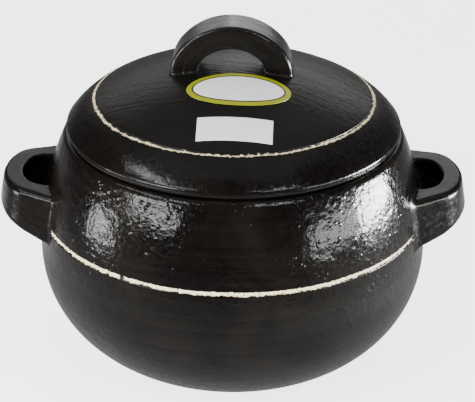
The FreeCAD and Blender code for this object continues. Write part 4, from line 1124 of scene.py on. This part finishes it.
class POT_OT_stage(bpy.types.Operator):
    """Sets the pale floor, the soft lights and the camera"""
    bl_idname = "rice_pot.stage"
    bl_label = "Floor, lights and camera"

    def execute(self, context):
        look = context.scene.rice_stage
        ground = bmesh.new()
        bmesh.ops.create_grid(ground, x_segments=1, y_segments=1, size=look.floor_half)
        mesh = bpy.data.meshes.new("studio_floor")
        ground.to_mesh(mesh)
        ground.free()
        floor = bpy.data.objects.new("studio_floor", mesh)
        context.scene.collection.objects.link(floor)
        material, tree, shader = new_material("pale_floor")
        # Painted shade in the reflections: for glossy rays the floor is painted dimmer than the camera sees
        # it, and darker still farther off.
        glossy = put(tree, "ShaderNodeLightPath").outputs["Is Glossy Ray"]
        place = put(tree, "ShaderNodeTexCoord").outputs["Object"]
        far = spread(tree, length_of(tree, place), NEAR_FLOOR, FAR_FLOOR, smooth=True)
        painted_floor_reflection = blend(tree, far, tuple(look.painted_near_floor_reflection), tuple(look.painted_far_floor_reflection))
        painted_dim_glow = blend(tree, 1.0, painted_floor_reflection, (*[GLOW_IN_GLAZE] * 3, 1.0), "MULTIPLY")
        feed(tree, shader, {
            "Roughness": 0.9, "Specular IOR Level": 0.1,
            "Base Color": blend(tree, glossy, tuple(look.floor), painted_floor_reflection),
            "Emission Color": blend(tree, glossy, tuple(look.floor), painted_dim_glow),
            "Emission Strength": look.floor_glow})
        mesh.materials.append(material)

        world = bpy.data.worlds.new("studio")
        world.use_nodes = True
        feed(world.node_tree, world.node_tree.nodes["Background"],
             {"Color": (1.0, 1.0, 1.0, 1.0), "Strength": WORLD_STRENGTH})
        context.scene.world = world

        aim = Vector((0, 0, 0.09))
        # Each panel: its name, azimuth and elevation in degrees, distance, width, height and power
        panels = (
            ("left_panel", -78, -2.3, 0.84, 0.23, 0.105, 3.6),
            ("front_left_panel", -49, 13.3, 0.84, 0.433, 0.095, 7.3),
            ("front_right_panel", 57, 4.2, 0.60, 0.28, 0.094, 3.3),
            ("right_panel", 90.6, 1.6, 1.0, 0.47, 0.18, 74),
            ("back_left_panel", -163, 28, 1.2, 0.75, 0.6, 1.8),
            ("back_right_panel", 163, 28, 1.2, 0.75, 0.6, 2.8),
            ("high_left_panel", -67, 42, 1.2, 0.52, 0.12, 5),
            ("brow_left_panel", -38, 38, 1.2, 0.40, 0.07, 4.5),
            ("brow_right_panel", 30, 38, 1.2, 0.50, 0.07, 5.5),
            ("top_panel", 0, 90, 1.3, 1.6, 1.6, 7.5),
        )
        for name, turn, rise, away, width, height, power in panels:
            turn, rise = math.radians(turn), math.radians(rise)
            way = Vector((math.sin(turn) * math.cos(rise), -math.cos(turn) * math.cos(rise),
                          math.sin(rise)))
            lamp = bpy.data.lights.new(name, "AREA")
            lamp.shape = "RECTANGLE"
            lamp.size = width
            lamp.size_y = height
            lamp.energy = power
            holder = bpy.data.objects.new(name, lamp)
            holder.location = aim + way * away
            holder.rotation_euler = (-way).to_track_quat("-Z", "Y").to_euler()
            # The camera sees no panel, and the two low ones beside the pot don't light the floor.
            holder.visible_camera = False
            holder.visible_diffuse = name not in ("left_panel", "right_panel")
            context.scene.collection.objects.link(holder)

        up = look.elevation
        forward = Vector((0, math.cos(up), -math.sin(up)))
        right = Vector((1, 0, 0))
        above = Vector((0, math.sin(up), math.cos(up)))
        across = math.cos(look.roll) * right + math.sin(look.roll) * above
        upward = -math.sin(look.roll) * right + math.cos(look.roll) * above
        eye = Vector((look.aim_across, 0, look.aim_up)) - forward * look.distance
        turned = Matrix((across, upward, -forward)).transposed().to_4x4()
        lens = bpy.data.cameras.new("camera")
        lens.lens = FOCAL_LENGTH
        lens.sensor_width = SENSOR_WIDTH
        camera = bpy.data.objects.new("camera", lens)
        camera.matrix_world = Matrix.Translation(eye) @ turned
        context.scene.collection.objects.link(camera)
        context.scene.camera = camera
        return {"FINISHED"}


class POT_PT_panel(bpy.types.Panel):
    """Lists what dresses the rice pot"""
    bl_idname = "POT_PT_panel"
    bl_label = "Rice pot"
    bl_space_type = "VIEW_3D"
    bl_region_type = "UI"
    bl_category = "Rice pot"

    def draw(self, context):
        for operator in OPERATORS:
            self.layout.operator(operator.bl_idname)


OPERATORS = (POT_OT_bowl, POT_OT_ears, POT_OT_lid, POT_OT_handle, POT_OT_labels, POT_OT_stage)
SETTINGS = {
    "rice_bowl": BowlSizes,
    "rice_ears": EarSizes,
    "rice_lid": LidSizes,
    "rice_handle": HandleSizes,
    "rice_glaze": GlazeLook,
    "rice_labels": LabelLook,
    "rice_stage": StageLook,
}


def register():
    for made in (*SETTINGS.values(), *OPERATORS, POT_PT_panel):
        bpy.utils.register_class(made)
    for name, group in SETTINGS.items():
        setattr(bpy.types.Scene, name, PointerProperty(type=group))


def unregister():
    for name in SETTINGS:
        delattr(bpy.types.Scene, name)
    for made in (POT_PT_panel, *reversed(OPERATORS), *reversed(SETTINGS.values())):
        bpy.utils.unregister_class(made)


def main():
    register()
    bpy.ops.rice_pot.bowl()
    bpy.ops.rice_pot.ears()
    bpy.ops.rice_pot.lid()
    bpy.ops.rice_pot.handle()
    bpy.ops.rice_pot.labels()
    bpy.ops.rice_pot.stage()


if __name__ == "__main__":
    main()
